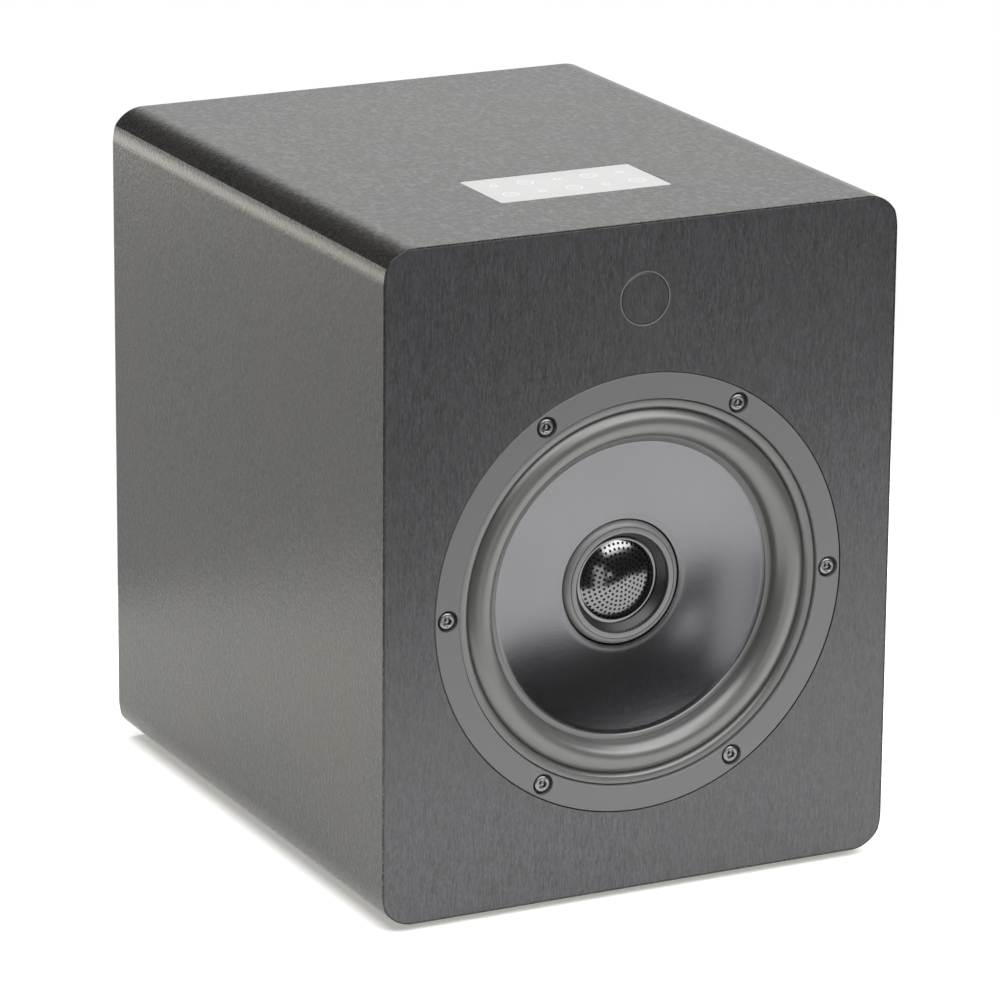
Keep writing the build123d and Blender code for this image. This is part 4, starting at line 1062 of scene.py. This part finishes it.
def makeScrews(sizes):
    made = bmesh.new()
    hexRadius = sizes["hexAcross"] / 2 / math.cos(math.pi / 6)
    steps = 48

    def loop(centre, radius, depth, hexagon=False):
        ring = []
        for n in range(steps):
            a = 2 * math.pi * n / steps
            reach = radius
            if hexagon:
                reach = radius * math.cos(math.pi / 6) / math.cos((a % (math.pi / 3)) - math.pi / 6)
            spot = Vector((reach * math.cos(a), depth, reach * math.sin(a))) * mm
            ring.append(made.verts.new(centre + spot))
        return ring

    def skin(first, second):
        for n in range(steps):
            made.faces.new((first[n], first[(n + 1) % steps], second[(n + 1) % steps], second[n]))

    for k in range(sizes["count"]):
        a = 2 * math.pi * k / sizes["count"]
        centre = driverCentre + Vector((math.cos(a), 0, math.sin(a))) * sizes["circle"] * mm
        front, radius = sizes["headFront"], sizes["headRadius"]
        chain = [
            loop(centre, sizes["pinRadius"] * 0.5, front + 0.1),
            loop(centre, sizes["pinRadius"], front + 0.3),
            loop(centre, sizes["pinRadius"] + 0.05, front + sizes["hexDepth"]),
            loop(centre, hexRadius, front + sizes["hexDepth"], True),
            loop(centre, hexRadius, front + 0.22, True),
            loop(centre, hexRadius + 0.22, front, False),
            loop(centre, radius * 0.72, front + 0.04),
            loop(centre, radius * 0.88, front + 0.2),
            loop(centre, radius * 0.97, front + 0.55),
            loop(centre, radius, front + 0.95),
            loop(centre, radius, sizes["headBack"]),
            loop(centre, sizes["shank"], sizes["headBack"]),
            loop(centre, sizes["shank"], sizes["shankBack"]),
        ]
        for first, second in zip(chain, chain[1:]):
            skin(first, second)
        made.faces.new(chain[0])
        made.faces.new(chain[-1])
    mesh = bpy.data.meshes.new("driverScrews")
    made.to_mesh(mesh)
    made.free()
    finishPiece(mesh, "driverScrews", "screw_steel", "cabinet", ["driver_screws"], 35.0)


makeScrews(screwSizes)
print("driver screws built")


dialSizes = {
    "ticks": 11,
    "sweep": 300.0,             # degrees between the first and the last tick
    "inner": 10.6,
    "outer": 12.4,
    "endOuter": 13.2,
    "width": 0.5,
    "rise": 0.02,
}


def makeDial(sizes):
    # short printed ticks round the volume knob
    low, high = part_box("volume_knob")
    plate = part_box("amp_plate")[1].y
    centre = Vector(((low.x + high.x) / 2, plate, (low.z + high.z) / 2))
    made = bmesh.new()
    for n in range(sizes["ticks"]):
        a = math.radians(90 - sizes["sweep"] / 2 + sizes["sweep"] * n / (sizes["ticks"] - 1))
        along, across = Vector((math.cos(a), 0, math.sin(a))), Vector((-math.sin(a), 0, math.cos(a)))
        reach = sizes["endOuter"] if n in (0, sizes["ticks"] - 1) else sizes["outer"]
        corners = []
        for depth in (-0.1, sizes["rise"]):
            for radius, side in ((sizes["inner"], -1), (reach, -1), (reach, 1), (sizes["inner"], 1)):
                spot = along * radius + across * side * sizes["width"] / 2 + Vector((0, depth, 0))
                corners.append(made.verts.new(centre + spot * mm))
        made.faces.new(corners[:4])
        made.faces.new(corners[4:])
        for k in range(4):
            made.faces.new((corners[k], corners[(k + 1) % 4], corners[4 + (k + 1) % 4], corners[4 + k]))
    mesh = bpy.data.meshes.new("dialTicks")
    made.to_mesh(mesh)
    made.free()
    finishPiece(mesh, "dialTicks", "plated_brass", "cabinet", [])


makeDial(dialSizes)
print("dial ticks built")


studio = {
    # corners of the table top in metres, x and y
    "table": ((-0.62, -0.10), (0.42, -0.66), (0.62, -0.20), (0.60, 0.40), (-0.62, 0.24)),
    "floorColour": (0.93, 0.93, 0.92),
    "tableGlow": 0.36,          # the top is a dim light table, so shadows stay pale
    "glowColour": (1.0, 0.99, 0.94),
    "backdrop": 0.98,           # brightness
    "backdropRise": 0.50,       # sine of the elevation at which the backdrop ends, on the right
    "backdropLow": 0.10,        # and on the left
    "room": 0.065,
}
lights = {
    # name: (place, aim, width, height, watts, colour), in metres
    "overhead": ((0.0, -0.50, 1.5), (0.0, -0.35, 0.0), 2.4, 2.4, 72.0, (1.0, 0.995, 0.985)),
    "frontRight": ((0.55, -1.12, 0.78), (0.0, -0.13, 0.13), 1.10, 0.30, 6.5, (1.0, 1.0, 1.0)),
    "frontCard": ((-0.16, -1.62, -0.07), (0.0, -0.13, 0.12), 0.38, 0.86, 1.5, (1.0, 1.0, 1.0)),
    "frontSpot": ((0.22, -1.60, -0.02), (0.0, -0.13, 0.12), 0.18, 0.16, 0.22, (1.0, 1.0, 1.0)),
    "backLeft": ((-0.72, 0.95, 0.13), (-0.11, 0.0, 0.2), 0.9, 0.16, 1.5, (1.0, 0.96, 0.86)),
}


def makeFloor(setup):
    made = bmesh.new()
    for x, y in setup["table"]:
        made.verts.new((x, y, cadLow.z))
    made.faces.new(made.verts)
    mesh = bpy.data.meshes.new("studioFloor")
    made.to_mesh(mesh)
    made.free()
    finish, tree, shader = newFinish("paleFloor", setup["floorColour"], 0.75)
    cloud = noise(tree, (4.0, 4.0, 4.0), 3.0, 0.5)
    feed(tree, tint(tree, cloud, shade(setup["floorColour"], 0.985), setup["floorColour"]),
         shader.inputs["Base Color"])
    shader.inputs["Emission Color"].default_value = (*setup["glowColour"], 1)
    shader.inputs["Emission Strength"].default_value = setup["tableGlow"]
    mesh.materials.append(finish)
    floor = bpy.data.objects.new("studioFloor", mesh)
    bpy.context.scene.collection.objects.link(floor)


def makeLight(name, place, aim, width, height, watts, colour):
    data = bpy.data.lights.new(name, "AREA")
    data.shape = "RECTANGLE"
    data.size = width
    data.size_y = height
    data.energy = watts
    data.color = colour
    light = bpy.data.objects.new(name, data)
    light.location = place
    light.rotation_mode = "QUATERNION"
    light.rotation_quaternion = (Vector(aim) - Vector(place)).to_track_quat("-Z", "Y")
    light.visible_camera = False
    bpy.context.scene.collection.objects.link(light)


def makeWorld(setup):
    # a low white backdrop behind the speaker, a dim room above it and in front
    world = bpy.data.worlds.new("studioRoom")
    world.use_nodes = True
    bpy.context.scene.world = world
    tree = world.node_tree
    background = tree.nodes["Background"]
    coords = addNode(tree, "TexCoord")
    split = addNode(tree, "SeparateXYZ")
    feed(tree, coords.outputs["Generated"], split.inputs["Vector"])
    limit = spread(tree, split.outputs["X"], 0.0, 0.28, setup["backdropLow"], setup["backdropRise"])
    above = sums(tree, "SUBTRACT", split.outputs["Z"], limit)
    low = spread(tree, above, -0.02, 0.06, 1.0, 0.0)
    behind = spread(tree, split.outputs["Y"], 0.45, 0.75, 0.0, 1.0)
    glow = sums(tree, "MULTIPLY", low, behind)
    extra = sums(tree, "MULTIPLY", glow, setup["backdrop"] - setup["room"])
    strength = sums(tree, "ADD", extra, setup["room"])
    seen = addNode(tree, "LightPath")
    lit = addNode(tree, "Mix", data_type="FLOAT")
    feed(tree, seen.outputs["Is Camera Ray"], lit.inputs["Factor"])
    feed(tree, strength, lit.inputs["A"])
    lit.inputs["B"].default_value = 1.0
    background.inputs["Color"].default_value = (1, 1, 1, 1)
    feed(tree, lit.outputs["Result"], background.inputs["Strength"])


makeFloor(studio)
makeWorld(studio)
for lightName, setting in lights.items():
    makeLight(lightName, *setting)
bpy.context.scene.view_settings.view_transform = "Standard"
print("studio built")

bpy.context.view_layer.update()
